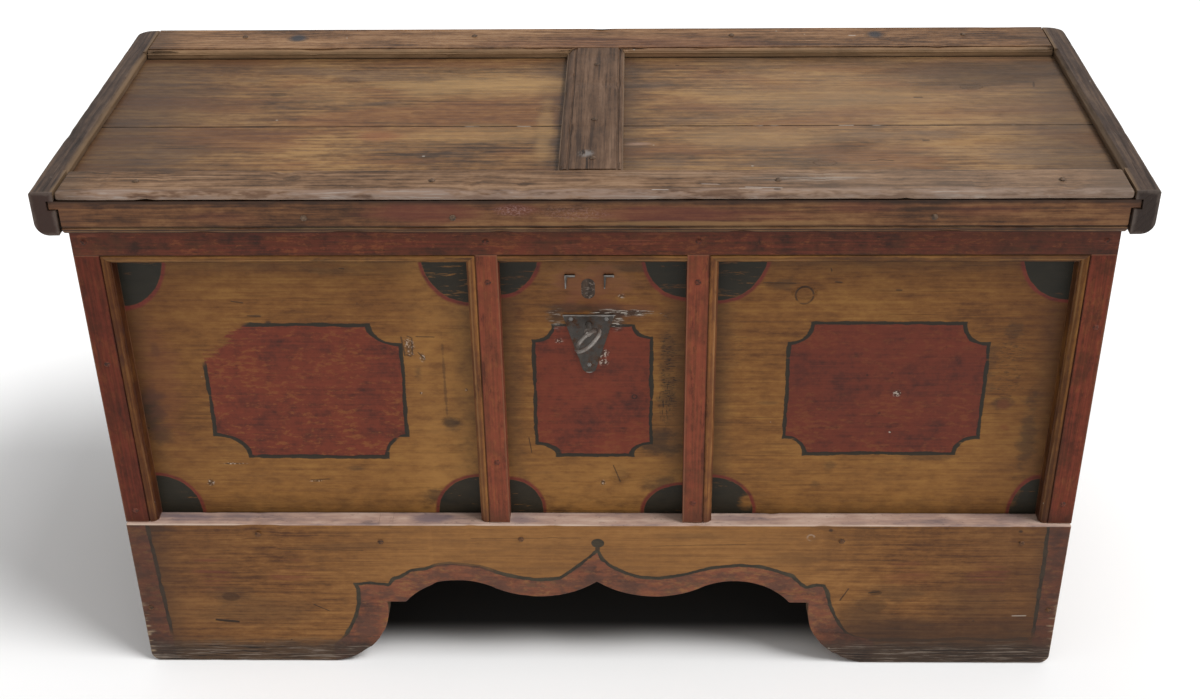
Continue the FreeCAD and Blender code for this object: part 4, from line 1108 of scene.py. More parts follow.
    def scars(self, g: Ground, layer: Layer, ragged: Field, streak: Field) -> Layer:
        """Adds the scraped places by the lock, the nicks and the cracks, over the ornament.

        Args:
            g: the finish's node tree.
            layer: the finish so far.
            ragged: random patches.
            streak: random streaks along the grain.

        Returns:
            The scarred finish.
        """
        hatch = g.cloud((130.0, 1.0, 560.0), 14.0, 2.0, 0.6).step(0.53, 0.6)
        drops = g.cloud((480.0, 1.0, 90.0), 16.0, 2.0, 0.6).step(0.55, 0.62)
        column = Stain(0.09, 0.44, 0.013, 0.08, 1.0, 1.1).share(g.x, g.z, ragged) * hatch
        column = column.greater(Stain(0.087, 0.398, 0.009, 0.036, 1.0, 0.9).share(g.x, g.z, ragged) * drops)
        column = column.greater(
            Stain(0.5, 0.455, 0.022, 0.06, 0.8, 1.2).share(g.x, g.z, ragged) * hatch * 0.7
        )
        column = column.greater(
            Stain(0.175, 0.48, 0.016, 0.03, 0.6, 0.9).share(g.x, g.z, ragged) * hatch * 0.5
        )
        layer = layer.stained((0.026, 0.017, 0.01), column * 0.85, -0.5)
        scrapes = Stain.table(
            (0.036, 0.5245, 0.046, 0.0055, 1.0, 0.9), (-0.045, 0.519, 0.012, 0.014, 0.8),
            (0.028, 0.515, 0.01, 0.016, 0.9),
        )
        scraped = g.marked(scrapes, g.x, g.z, ragged)
        burns = Stain.table((0.5005, 0.394, 0.01, 0.009, 0.8, 0.6), (0.5055, 0.3615, 0.008, 0.006, 0.7, 0.7))
        layer = layer.stained((0.155, 0.04, 0.014), g.marked(burns, g.x, g.z, ragged) * 0.6)
        layer = layer.stained((0.026, 0.018, 0.013), scraped * 0.8, -0.5)
        g.hold(scraped)
        fibre = g.cloud((70.0, 60.0, 520.0), 18.0, 3.0, 0.7).step(0.53, 0.61)
        layer = layer.stained((0.56, 0.5, 0.43), scraped * fibre * (g.x.step(-0.04, 0.0) * 0.4 + 0.45), 0.3)
        nicks = Stain.table(
            (-0.2225, 0.478, 0.006, 0.016, 0.7, 0.9), (-0.208, 0.462, 0.004, 0.008, 0.7, 0.9),
            (0.008, 0.468, 0.009, 0.008, 1.0, 0.9), (0.011, 0.456, 0.008, 0.006, 1.0, 0.9),
            (-0.042, 0.486, 0.006, 0.004, 0.9), (-0.49, 0.276, 0.005, 0.006, 1.0, 0.7),
            (-0.356, 0.278, 0.012, 0.002, 1.0), (-0.459, 0.305, 0.018, 0.0016, 1.0),
            (0.033, 0.547, 0.006, 0.004, 0.9), (0.009, 0.276, 0.004, 0.005, 1.0),
            (0.3687, 0.4115, 0.006, 0.006, 1.0, 0.9), (0.3649, 0.3539, 0.0022, 0.0022, 1.0, 0.2),
            (-0.213, 0.411, 0.0022, 0.0022, 1.0, 0.2), (-0.157, 0.416, 0.002, 0.003, 0.9, 0.3),
        )
        pale = g.marked(nicks, g.x, g.z, ragged)
        crumbs = g.cloud((300.0, 300.0, 300.0), 19.0, 2.0, 0.6)
        layer = layer.stained((0.035, 0.022, 0.015), pale * crumbs.step(0.56, 0.46) * 0.8, -0.5)
        layer = layer.stained(PALE, pale * crumbs.step(0.52, 0.58) * 0.85, -0.2)
        g.hold(pale)
        cuts = Scratch.table(
            ((0.022, 0.303), (0.031, 0.277), 0.0013), ((-0.214, 0.492), (-0.192, 0.4915), 0.0012),
            ((-0.232, 0.492), (-0.229, 0.465), 0.0014), ((-0.219, 0.49), (-0.22, 0.466), 0.0012),
            ((-0.431, 0.541), (-0.417, 0.539), 0.0013), ((-0.083, 0.345), (-0.08, 0.322), 0.0011),
            ((-0.362, 0.28), (-0.338, 0.281), 0.001), ((0.2, 0.566), (0.238, 0.565), 0.0008),
            ((-0.414, 0.521), (-0.398, 0.5205), 0.0012), ((0.284, 0.567), (0.292, 0.566), 0.0014),
            ((0.278, 0.585), (0.279, 0.581), 0.001), ((-0.298, 0.586), (-0.292, 0.585), 0.0012),
            ((-0.2275, 0.4665), (-0.2215, 0.464), 0.0014), ((-0.225, 0.493), (-0.2195, 0.4905), 0.0012),
            ((-0.213, 0.47), (-0.205, 0.46), 0.0012), ((0.356, 0.556), (0.363, 0.5555), 0.0016),
            ((0.33, 0.4385), (0.3308, 0.4365), 0.0024), ((0.3488, 0.383), (0.3494, 0.3814), 0.0024),
            ((0.36, 0.441), (0.3607, 0.4398), 0.0024), ((-0.11, 0.2312), (0.11, 0.2308), 0.0009, 0.6),
        )
        cut = g.marked(cuts, g.x, g.z, ragged)
        g.hold(cut)
        ring_x, ring_z = (g.x - 0.249) * (1.0 / 0.0105), (g.z - 0.549) * (1.0 / 0.0115)
        ring = (ring_x.diagonal(ring_z) - 1.0).size().step(0.16, 0.04) * streak.step(0.3, 0.5)
        spot = ((g.x - 0.0485).diagonal(g.z - 0.406) - 0.0028).size().step(0.0014, 0.0004)
        layer = layer.stained(SOOT, cut.greater(ring * 0.95).greater(spot * 0.8) * (ragged * 0.6 + 0.5), -1.2)
        flecks = g.specks((26.0, 26.0, 34.0), 15.0, 0.032, 0.18)
        return layer.stained(PALE, flecks * 0.8)

    def dress_rail(self) -> None:
        """Paints the top rail: red on its flat, ochre on its moulding, and a painted shadow under the lid."""
        timber = Timber(Grain.FRONT_LEVEL, 0.9, 0.2, 0.006, 0.02, (), 21.0)
        g, figure, ochre = begin("red_top_rail", timber, self.ochre)
        red = RedPaint((0.122, 0.028, 0.014), (0.026, 0.009, 0.007), (0.21, 0.06, 0.022), 0.9, 44.0)
        inner, outer = self.rail_mould
        layer = ochre.under(red.lay(g, timber, figure), g.z.step(outer - 0.001, outer - 0.0002))
        layer = self.moulding_shade_and_wear(g, layer, g.z, inner, outer, figure)
        # painted shadow: the rail darkens towards its top, under the lid
        soot = g.z + (figure.fibres - 0.5) * 0.02
        layer = layer.stained((0.02, 0.009, 0.007), soot.step(0.632, 0.664) * 0.7)
        blots = g.cloud((16.0, 60.0, 70.0), 45.0, 4.0, 0.7)
        layer = layer.stained((0.026, 0.011, 0.008), blots.step(0.54, 0.68) * 0.65, -0.3)
        layer = layer.stained(
            (0.23, 0.075, 0.04), blots.step(0.44, 0.34) * figure.fibres.step(0.5, 0.62) * 0.5
        )
        layer = layer.stained((0.045, 0.018, 0.012), g.x.step(0.1, 0.55) * 0.22)
        clothe(g.close(layer, 0.0003, gloss=0.18), "front_top_rail")

    def moulding_shade_and_wear(
        self, g: Ground, layer: Layer, across: Field, inner: float, outer: float, figure: Figure
    ) -> Layer:
        """Darkens a moulding's quirks and a line down its middle, and pales its crest: partly grime and wear,
        partly painted shade and a painted highlight of its profile.

        Args:
            g: the finish's node tree.
            layer: the painted moulding.
            across: the coordinate across the moulding.
            inner: where it meets the panel.
            outer: where it meets the flat.
            figure: the wood's figure.

        Returns:
            The worn moulding.
        """
        width = abs(outer - inner)
        past = (across - inner) * math.copysign(1.0, outer - inner)
        # painted shade in the quirks and along the middle, partly grime
        quirk = past.step(0.0022, 0.0004).greater(1.0 - (past - width).size().step(0.0003, 0.0016))
        mid = 1.0 - (past - width * 0.52).size().step(0.0004, 0.0014)
        worn = figure.fibres.step(0.4, 0.62)
        patchy = g.cloud((24.0, 24.0, 24.0), 90.0 + inner * 10.0, 4.0, 0.7)
        lines = (quirk * 0.75).greater(mid * 0.45) * (worn * 0.4 + patchy.step(0.36, 0.56) * 0.7)
        layer = layer.stained((0.02, 0.011, 0.007), lines)
        layer = layer.stained((0.075, 0.03, 0.013), patchy.step(0.5, 0.66) * 0.5)
        # paler crest, partly wear and partly a painted highlight
        crest = (past - width * 0.28).size().step(0.0016, 0.0003) * past.step(0.0, 0.001)
        layer = layer.stained((0.062, 0.026, 0.01), figure.fibres.step(0.58, 0.42) * 0.35)
        return layer.stained((0.3, 0.18, 0.085), crest * worn * 0.5)

    def dress_uprights(self) -> None:
        """Paints the stiles and muntins: red on their flats, ochre on their mouldings."""
        for name, inner, outer, seed in (("stile", 0.559, 0.5705, 24.0), ("muntin", 0.1459, 0.1345, 28.0)):
            g = Ground(f"red_{name}s")
            timber = Timber(Grain.FRONT_UPRIGHT, 0.9, 0.2, 0.006, 0.02, (), seed)
            figure = timber.saw(g)
            side = g.x.size()
            ochre = self.ochre.lay(g, timber, figure)
            red = RedPaint((0.19, 0.041, 0.021), (0.07, 0.018, 0.011), (0.27, 0.085, 0.03), 0.6, seed + 20.0)
            edge = (outer - 0.001, outer - 0.0002) if outer > inner else (outer + 0.001, outer + 0.0002)
            layer = ochre.under(red.lay(g, timber, figure), side.step(*edge))
            layer = self.moulding_shade_and_wear(g, layer, side, inner, outer, figure)
            ends = (g.z + (figure.fibres - 0.5) * 0.03).step(0.262, 0.228) * 0.6
            layer = layer.stained((0.045, 0.02, 0.014), ends)
            if name == "stile":
                layer = layer.stained((0.045, 0.007, 0.004), g.x.step(0.3, -0.3) * 0.24 + 0.26)
            else:
                layer = layer.stained((0.26, 0.085, 0.045), side.step(0.5, 0.3) * 0.22)
            blots = g.cloud((70.0, 60.0, 22.0), seed + 2.0, 4.0, 0.7)
            layer = layer.stained((0.04, 0.014, 0.01), blots.step(0.54, 0.68) * 0.55, -0.3)
            arris = g.edge(f"right_{name}", mirrored=True)
            rub = (arris + (figure.fibres - 0.5) * 0.004).step(0.0022, 0.0004)
            layer = layer.stained((0.24, 0.115, 0.065), rub * 0.45)
            dots = g.specks((60.0, 60.0, 30.0), seed, 0.05, 0.22)
            layer = layer.stained((0.03, 0.016, 0.012), dots * 0.7, -0.4)
            nicks = g.specks((90.0, 60.0, 22.0), seed + 1.0, 0.035, 0.15)
            layer = layer.stained(PALE, nicks * 0.8, -0.3)
            clothe(g.close(layer, 0.0003, gloss=0.12), f"left_{name}", f"right_{name}")

    def dress_plug(self) -> None:
        """Darkens the wooden plug that fills the old hole above the lock."""
        timber = Timber(Grain.FRONT_UPRIGHT, 0.0, 0.1, 0.004, 0.01, (), 31.0)
        finish = OldFinish((0.025, 0.018, 0.014), (0.07, 0.046, 0.032), (0.14, 0.09, 0.06))
        g, _, layer = begin("dark_plug", timber, finish)
        slots = g.cloud((260.0, 60.0, 420.0), 33.0, 2.0, 0.6).step(0.54, 0.62)
        clothe(
            g.close(layer.stained((0.24, 0.19, 0.155), slots * 0.6, 0.4), 0.0006, gloss=0.18), "board_plug"
        )


@dataclass
class Plinth:
    """The scalloped plinth: ochre ground, red band along the cut edge, dark line, and a pale worn ledge."""

    shape: WornBoard = WornBoard(
        "front_plinth", "carcass", "painted_plinth", LEFT_TO_RIGHT, 0.0022, 0.0006, 0.0045, 9.0, 0.006
    )
    face: float = -0.23665
    back: float = -0.20865
    top: float = 0.23
    half_width: float = 0.6
    line: float = 0.0052
    ochre: OldFinish = OldFinish(
        (0.08, 0.03, 0.01), (0.188, 0.078, 0.021), (0.29, 0.134, 0.04), 0.55, 0.06, 0.6, 1.3,
        mottle=0.95, streaks=0.45,
    )
    crest: tuple[tuple[float, float], ...] = (
        (-0.3146, 0.1321), (-0.2958, 0.1345), (-0.2785, 0.1322), (-0.2717, 0.1309), (-0.2638, 0.1419),
        (-0.2555, 0.145), (-0.2396, 0.1561), (-0.2221, 0.1585), (-0.2047, 0.1643), (-0.187, 0.1666),
        (-0.1698, 0.1644), (-0.1505, 0.1618), (-0.122, 0.15), (-0.0957, 0.1425), (-0.08, 0.1405),
        (-0.0646, 0.1412), (-0.0477, 0.144),
        (-0.0372, 0.1523), (-0.0267, 0.1609), (-0.0101, 0.1765), (0.0018, 0.189), (0.007, 0.1765),
        (0.0185, 0.1633), (0.0308, 0.1558), (0.0429, 0.1496), (0.0558, 0.1453), (0.08, 0.144),
        (0.11, 0.149), (0.15, 0.161), (0.1842, 0.1651), (0.21, 0.1629), (0.2304, 0.1564),
        (0.2505, 0.1482), (0.2641, 0.1342), (0.2712, 0.1284), (0.2842, 0.1326), (0.2936, 0.131),
    )
    left_foot: tuple[tuple[float, float], ...] = (
        (0.03, -0.352), (0.0442, -0.3354), (0.0599, -0.3269), (0.0772, -0.3197), (0.0984, -0.314),
        (0.1231, -0.3119), (0.1321, -0.3146),
    )
    right_foot: tuple[tuple[float, float], ...] = (
        (0.04, 0.364), (0.0462, 0.3398), (0.0514, 0.329), (0.066, 0.3188), (0.083, 0.3097),
        (0.0983, 0.3035), (0.1225, 0.298), (0.131, 0.2936),
    )
    timber: Timber = Timber(
        Grain.FRONT_LEVEL, 0.115, 0.285, 0.0075, 0.07,
        (Knot(-0.4797, 0.1107, 0.007, 0.8), Knot(0.3575, 0.09, 0.012, 0.35), Knot(0.3619, 0.1204, 0.005, 0.8),
         Knot(0.0016, 0.2232, 0.005, 0.8), Knot(-0.268, 0.222, 0.005, 0.7)), 51.0,
    )

    def build(self) -> None:
        """Wears the plinth's arrises down and dresses it."""
        self.shape.build()
        g, figure, bare = begin("painted_plinth", self.timber, BARE)
        layer = self.ochre.lay(g, self.timber, figure)
        shake, tremble = g.drift((16.0, 16.0, 16.0), 55.0), g.drift((110.0, 110.0, 110.0), 56.0)
        x = g.x + shake[0] * 0.004 + tremble[0] * 0.0022
        z = g.z + shake[2] * 0.003 + tremble[2] * 0.002
        ragged = g.cloud((30.0, 30.0, 60.0), 57.0, 4.0, 0.65)
        streak = g.cloud((7.0, 60.0, 170.0), 58.0, 3.0, 0.62)
        middle = g.x.size().step(0.42, 0.2) * (streak * 0.8 + 0.4)
        layer = layer.stained((0.33, 0.155, 0.048), middle * 0.55)
        far = g.x.size().step(0.36, 0.58) * (g.x.step(0.0, 0.3) * 0.15 + 0.45)
        layer = layer.stained((0.085, 0.034, 0.014), far * (streak * 0.8 + 0.5))
        layer = self.stains(g, layer, ragged, streak)
        inside, ends = self.band(g, x, z), self.end_bands(x, z)
        red = RedPaint((0.182, 0.06, 0.033), (0.055, 0.022, 0.016), (0.25, 0.11, 0.045), 0.9, 60.0)
        grime = g.cloud((34.0, 34.0, 70.0), 62.0, 4.0, 0.7)
        worn = (ragged * 0.6 + streak * 0.6).step(0.36, 0.52) * 0.92
        dull = red.lay(g, self.timber, figure).stained((0.06, 0.036, 0.032), grime.step(0.42, 0.62) * 0.6)
        layer = layer.under(dull, inside.greater(ends).step(-0.0006, 0.0008) * worn)
        pressed = (ragged - 0.5) * 0.005 + self.line / 2
        traced = (pressed - inside.size()).step(-0.0007, 0.0007) * z.step(0.03, 0.052)
        border = (pressed - ends.size()).step(-0.0007, 0.0007) * z.step(0.036, 0.062)
        base = (pressed - (z - 0.0415 - shake[0] * 0.01).size()).step(-0.0007, 0.0007)
        base = base * x.step(0.35, 0.362) * x.step(0.571, 0.566) * 0.7
        dot = ((x - 0.0016) * (1.0 / 0.0082)).diagonal((z - 0.2009) * (1.0 / 0.0072)).step(1.06, 0.94)
        stub = (x - 0.0016).size().step(0.0034, 0.0024) * (z - 0.1915).size().step(0.0055, 0.0045)
        lines = traced.greater(border).greater(base).greater(dot).greater(stub * 0.9)
        rubbed = (ragged * 0.5 + streak * 0.75).step(0.34, 0.5)
        olive = g.mix((0.016, 0.016, 0.012), (0.055, 0.045, 0.028), ragged.step(0.3, 0.7))
        dark = Layer(g, olive, figure.fibres * 0.1 + 0.5, layer.height)
        worn_off = g.x.step(-0.215, -0.205) * g.x.step(-0.125, -0.14) * 0.35
        layer = layer.under(dark, lines * (rubbed * 0.42 + 0.54 - worn_off))
        far = g.x.step(0.27, 0.34) * g.z.step(0.11, 0.04)
        grimy = (far * 1.2).greater(g.x.step(-0.53, -0.58)).greater(g.x.step(0.55, 0.58) * 0.8)
        layer = layer.stained((0.04, 0.02, 0.013), grimy * (ragged * 0.8 + 0.3) * 0.8)
        layer = self.wear(g, layer, ragged, streak, figure)
        front = g.y.step(self.face + 0.005, self.face + 0.0035)
        layer = self.painted_arch_shade(g, bare, figure).under(layer, front)
        ledge = self.ledge(g, figure)
        flat = g.z.step(self.top - 0.0024, self.top - 0.0012) * (g.y - self.back).step(0.00065, -0.00035)
        clothe(g.close(layer.under(ledge, flat), 0.0004, gloss=0.18), "front_plinth")

    def band(self, g: Ground, x: Field, z: Field) -> Field:
        """How far below the drawn line a point is, roughly square to it.

        Args:
            g: the finish's node tree.
            x: the point's place from side to side.
            z: its height.

        Returns:
            The distance in metres, negative above the line.
        """
        crest = g.curve(x, self.crest)
        slope = (g.curve(x + 0.003, self.crest) - g.curve(x - 0.003, self.crest)) * (1 / 0.006)
        over = (crest - z) / (slope * slope + 1.0).root()
        left = (x - g.curve(z, self.left_foot)) * 0.97
        right = (g.curve(z, self.right_foot) - x) * 0.97
        feet = left.lesser(right)
        reach = feet.lesser((x - self.crest[0][0]) + (z - 0.134).step(0.0, -0.0001))
        reach = reach.lesser((self.crest[-1][0] - x) + (z - 0.1325).step(0.0, -0.0001))
        return over.lesser(reach)

    def end_bands(self, x: Field, z: Field) -> Field:
        """How far outside the end lines a point is.

        Args:
            x: the point's place from side to side.
            z: its height.

        Returns:
            The distance in metres, negative between the lines.
        """
        left = z.spread(0.0, self.top, -0.564, -0.5722) - x
        right = x - z.spread(0.0, self.top, 0.5745, 0.5708)
        return left.greater(right)

    def stains(self, g: Ground, layer: Layer, ragged: Field, streak: Field) -> Layer:
        """Lays smoky patches, knots' shadows and faint traces of red under the lines.

        Args:
            g: the finish's node tree.
            layer: the finish so far.
            ragged: random patches.
            streak: random streaks along the grain.

        Returns:
            The stained finish.
        """
        soft = Stain.table(
            (-0.48, 0.11, 0.034, 0.024, 0.45), (-0.44, 0.085, 0.09, 0.03, 0.35),
            (0.352, 0.085, 0.04, 0.035, 0.45), (0.39, 0.12, 0.045, 0.018, 0.5), (0.4, 0.06, 0.08, 0.022, 0.5),
            (0.48, 0.11, 0.06, 0.04, 0.35), (-0.56, 0.222, 0.03, 0.006, 0.6),
            (0.25, 0.175, 0.06, 0.012, 0.25), (-0.33, 0.195, 0.06, 0.008, 0.3),
            (0.12, 0.212, 0.06, 0.006, 0.3), (0.2974, 0.2213, 0.0035, 0.003, 1.0, 0.3),
            (0.5369, 0.2203, 0.0035, 0.003, 1.0, 0.3),
        )
        total = g.marked(soft, g.x, g.z, ragged)
        layer = layer.stained((0.045, 0.024, 0.014), total * (streak * 0.9 + 0.5))
        g.hold(total)
        faint = Stain.table(
            (-0.5, 0.15, 0.028, 0.035, 0.5), (-0.395, 0.15, 0.035, 0.03, 0.5), (0.4, 0.15, 0.04, 0.025, 0.35),
            (0.505, 0.145, 0.03, 0.03, 0.45),
        )
        traces = g.marked(faint, g.x, g.z, ragged)
        return layer.stained((0.16, 0.042, 0.024), traces * streak.step(0.42, 0.62))

    def wear(self, g: Ground, layer: Layer, ragged: Field, streak: Field, figure: Figure) -> Layer:
        """Adds the dirty, fibrous foot, chips on the arrises, cracks and specks.

        Args:
            g: the finish's node tree.
            layer: the finish so far.
            ragged: random patches.
            streak: random streaks along the grain.
            figure: the wood's figure.

        Returns:
            The worn finish.
        """
        height = g.z + (ragged - 0.5) * 0.022
        layer = layer.stained((0.05, 0.034, 0.024), height.step(0.047, 0.022) * 0.8)
        frayed = g.cloud((14.0, 60.0, 360.0), 64.0, 4.0, 0.7)
        layer = layer.stained(
            (0.21, 0.165, 0.13), height.step(0.04, 0.018) * frayed.step(0.53, 0.62) * 0.85, 0.5
        )
        layer = layer.stained(
            (0.016, 0.011, 0.009), height.step(0.044, 0.02) * frayed.step(0.47, 0.39) * 0.9, -0.6
        )
        sides = self.half_width - g.x.size()
        chips = (sides + (ragged - 0.5) * 0.03).step(0.01, 0.002) * streak.step(0.5, 0.6)
        layer = layer.stained((0.34, 0.25, 0.16), chips * g.z.step(0.13, 0.06) * 0.8, -0.4)
        arris = g.edge("front_plinth")
        rub = (arris + (figure.fibres - 0.5) * 0.005).step(0.0026, 0.0003)
        layer = layer.stained((0.27, 0.19, 0.12), rub * 0.55)
        g.hold(rub)
        cuts = Scratch.table(
            ((-0.505, 0.0715), (-0.474, 0.068), 0.0022, 1.0), ((0.316, 0.107), (0.326, 0.127), 0.0016),
            ((-0.372, 0.098), (-0.352, 0.087), 0.0012), ((0.366, 0.122), (0.352, 0.12), 0.0016),
            ((-0.41, 0.19), (-0.3, 0.188), 0.0008, 0.6), ((0.07, 0.196), (0.19, 0.199), 0.0008, 0.5),
            ((-0.3, 0.138), (-0.22, 0.136), 0.0007, 0.5), ((-0.16, 0.207), (-0.02, 0.209), 0.0007, 0.5),
        )
        cut = g.marked(cuts, g.x, g.z, ragged)
        layer = layer.stained(SOOT, cut * 0.9, -1.5)
        g.hold(cut)
        dots = g.specks((20.0, 20.0, 34.0), 66.0, 0.06, 0.3)
        layer = layer.stained(SOOT, dots * 0.7, -0.5)
        white = g.specks((40.0, 40.0, 60.0), 67.0, 0.07, 0.3) * height.step(0.06, 0.012)
        white = white.greater(g.specks((28.0, 28.0, 40.0), 68.0, 0.035, 0.15))
        white = white.greater(Scratch((0.542, 0.082), (0.56, 0.0823), 0.0013).share(g.x, g.z, ragged))
        ring = ((g.x - 0.2728).diagonal(g.z - 0.2101) - 0.0045).size().step(0.0016, 0.0006)
        white = white.greater(ring * ragged.step(0.4, 0.55) * 0.5)
        return layer.stained(PALE, white * 0.85)

    def painted_arch_shade(self, g: Ground, bare: Layer, figure: Figure) -> Layer:
        """Darkens the sawn edges and the back of the board towards the bottom, as painted shade in the arch
        under the chest.

        Args:
            g: the finish's node tree.
            bare: the bare wood.
            figure: its figure.

        Returns:
            The darkened wood.
        """
        # painted shade: darker towards the bottom, where the arch is in shade
        shade = g.z.step(0.2, 0.06) * 0.75
        return bare.stained((0.055, 0.026, 0.018), shade * (figure.fibres * 0.5 + 0.6))

    def ledge(self, g: Ground, figure: Figure) -> Layer:
        """The pale dusty ledge on top, with its purple-grey bloom.

        Args:
            g: the finish's node tree.
            figure: the wood's figure.

        Returns:
            The ledge's finish.
        """
        blotch = g.cloud((13.0, 40.0, 40.0), 70.0, 4.0, 0.65)
        long = g.cloud((5.0, 110.0, 60.0), 71.0, 3.0, 0.6)
        tone = (blotch - 0.5) * 1.3 + (long - 0.5) * 0.9 + 0.5
        stops = (0.22, (0.22, 0.16, 0.15)), (0.48, (0.42, 0.285, 0.228)), (0.8, (0.57, 0.43, 0.35))
        colour = g.tones(tone, *stops)
        crumbs = g.cloud((90.0, 260.0, 90.0), 72.0, 3.0, 0.7)
        colour = g.mix(colour, (0.12, 0.085, 0.075), crumbs.step(0.6, 0.7) * 0.5)
        purple = Stain.table(
            (-0.212, -0.2226, 0.032, 0.012, 0.8), (-0.097, -0.224, 0.022, 0.012, 0.6),
            (-0.52, -0.222, 0.035, 0.008, 0.5), (0.17, -0.22, 0.03, 0.008, 0.4),
            (0.53, -0.222, 0.03, 0.01, 0.4),
        )
        bloom = g.marked(purple, g.x, g.y, blotch)
        colour = g.mix(colour, (0.15, 0.115, 0.135), bloom * 0.9)
        front = (g.y - self.face).step(0.003, 0.0006)
        colour = g.mix(colour, (0.55, 0.43, 0.34), front * long.step(0.4, 0.6) * 0.7)
        back = (g.y - self.back).step(-0.005, -0.0006)
        colour = g.mix(colour, (0.06, 0.045, 0.04), back * 0.75)
        return Layer(
            g, colour, figure.fibres * 0.2 + 0.55, figure.fibres * 0.9 + figure.rings * 0.3 + blotch * 0.3
        )


@dataclass
class Carcass:
    """The sides, back and bottom: thin tired ochre outside, bare pine inside."""

    side_face: float = 0.6
    back_face: float = 0.25335
    back_joint: float = 0.404
    ochre: OldFinish = OldFinish(
        (0.085, 0.042, 0.019), (0.158, 0.08, 0.033), (0.225, 0.125, 0.055), 0.6, 0.16, 0.5, 1.1
    )
    grey: OldFinish = OldFinish(
        (0.06, 0.038, 0.023), (0.125, 0.078, 0.045), (0.19, 0.125, 0.075), 0.7, 0.2, 0.6, 1.0
    )

    def build(self) -> None:
        """Dresses the sides, the back boards and the bottom boards."""
        self.dress_sides()
        self.dress_back()
        self.dress_bottom()

    def dress_bottom(self) -> None:
        """Leaves the two bottom boards bare."""
        knots = (Knot(-0.31, 0.02, 0.01), Knot(0.24, -0.11, 0.012))
        timber = Timber(Grain.TOP_LEVEL, 0.05, 0.03, 0.008, 0.06, knots, 81.0)
        g, _, layer = begin("bare_bottom_boards", timber, BARE)
        clothe(g.close(layer, 0.0005, gloss=0.18), "bottom_front_board", "bottom_back_board")

    def dress_sides(self) -> None:
        """Dresses the two sides, with darker feet and worn arrises."""
        timber = Timber(
            Grain.SIDE_LEVEL, 0.3, -0.45, 0.008, 0.07,
            (Knot(0.08, 0.42, 0.012), Knot(-0.11, 0.23, 0.01), Knot(0.17, 0.56, 0.008)), 84.0,
        )
        g, figure, inner = begin("ochre_sides", timber, BARE)
        layer = self.weathered(g, self.ochre.lay(g, timber, figure), figure, 86.0)
        arris = g.edge("left_side", "right_side")
        layer = layer.stained(
            (0.24, 0.16, 0.1), (arris + (figure.fibres - 0.5) * 0.006).step(0.003, 0.0004) * 0.5
        )
        outer = g.x.size().step(self.side_face - 0.0018, self.side_face - 0.0008)
        clothe(g.close(inner.under(layer, outer), 0.0005, gloss=0.18), "left_side", "right_side")

    def dress_back(self) -> None:
        """Dresses the two back boards and the rough joint between them."""
        timber = Timber(
            Grain.FRONT_LEVEL, 0.33, 0.05, 0.009, 0.08,
            (Knot(-0.35, 0.52, 0.013), Knot(0.21, 0.31, 0.011), Knot(0.42, 0.6, 0.009),
             Knot(-0.12, 0.21, 0.009)),
            91.0,
        )
        g, figure, inner = begin("ochre_back_boards", timber, BARE)
        layer = self.weathered(g, self.grey.lay(g, timber, figure), figure, 93.0)
        seam = (g.z - self.back_joint).size().step(0.0016, 0.0004)
        layer = layer.stained(SOOT, seam * 0.85, -1.0)
        outer = g.y.step(self.back_face - 0.0018, self.back_face - 0.0008)
        joint = inner.stained(SOOT, seam * 0.6, -0.8)
        clothe(g.close(joint.under(layer, outer), 0.0006, gloss=0.18), "back_upper_board", "back_lower_board")

    def weathered(self, g: Ground, layer: Layer, figure: Figure, seed: float) -> Layer:
        """Adds dirt low down, a darker top edge, stains and specks.

        Args:
            g: the finish's node tree.
            layer: the clean finish.
            figure: the wood's figure.
            seed: which run of the patterns.

        Returns:
            The weathered finish.
        """
        ragged = g.cloud((9.0, 9.0, 26.0), seed, 5.0, 0.65)
        height = g.z + (ragged - 0.5) * 0.12
        layer = layer.stained((0.05, 0.032, 0.022), height.step(0.15, 0.0) * 0.75)
        # darker towards the top edge
        layer = layer.stained((0.045, 0.026, 0.016), (g.z + (ragged - 0.5) * 0.06).step(0.6, 0.68) * 0.6)
        layer = layer.stained((0.05, 0.028, 0.016), ragged.step(0.58, 0.72) * 0.6)
        bare = (figure.fibres * 0.5 + ragged * 0.5).step(0.42, 0.34)
        layer = layer.stained((0.27, 0.18, 0.11), bare * 0.4, -0.2)
        dots = g.specks((18.0, 18.0, 24.0), seed + 2.0, 0.06, 0.3)
        layer = layer.stained(SOOT, dots * 0.6, -0.4)
        return layer.stained(PALE, g.specks((30.0, 30.0, 40.0), seed + 3.0, 0.04, 0.12) * 0.7)


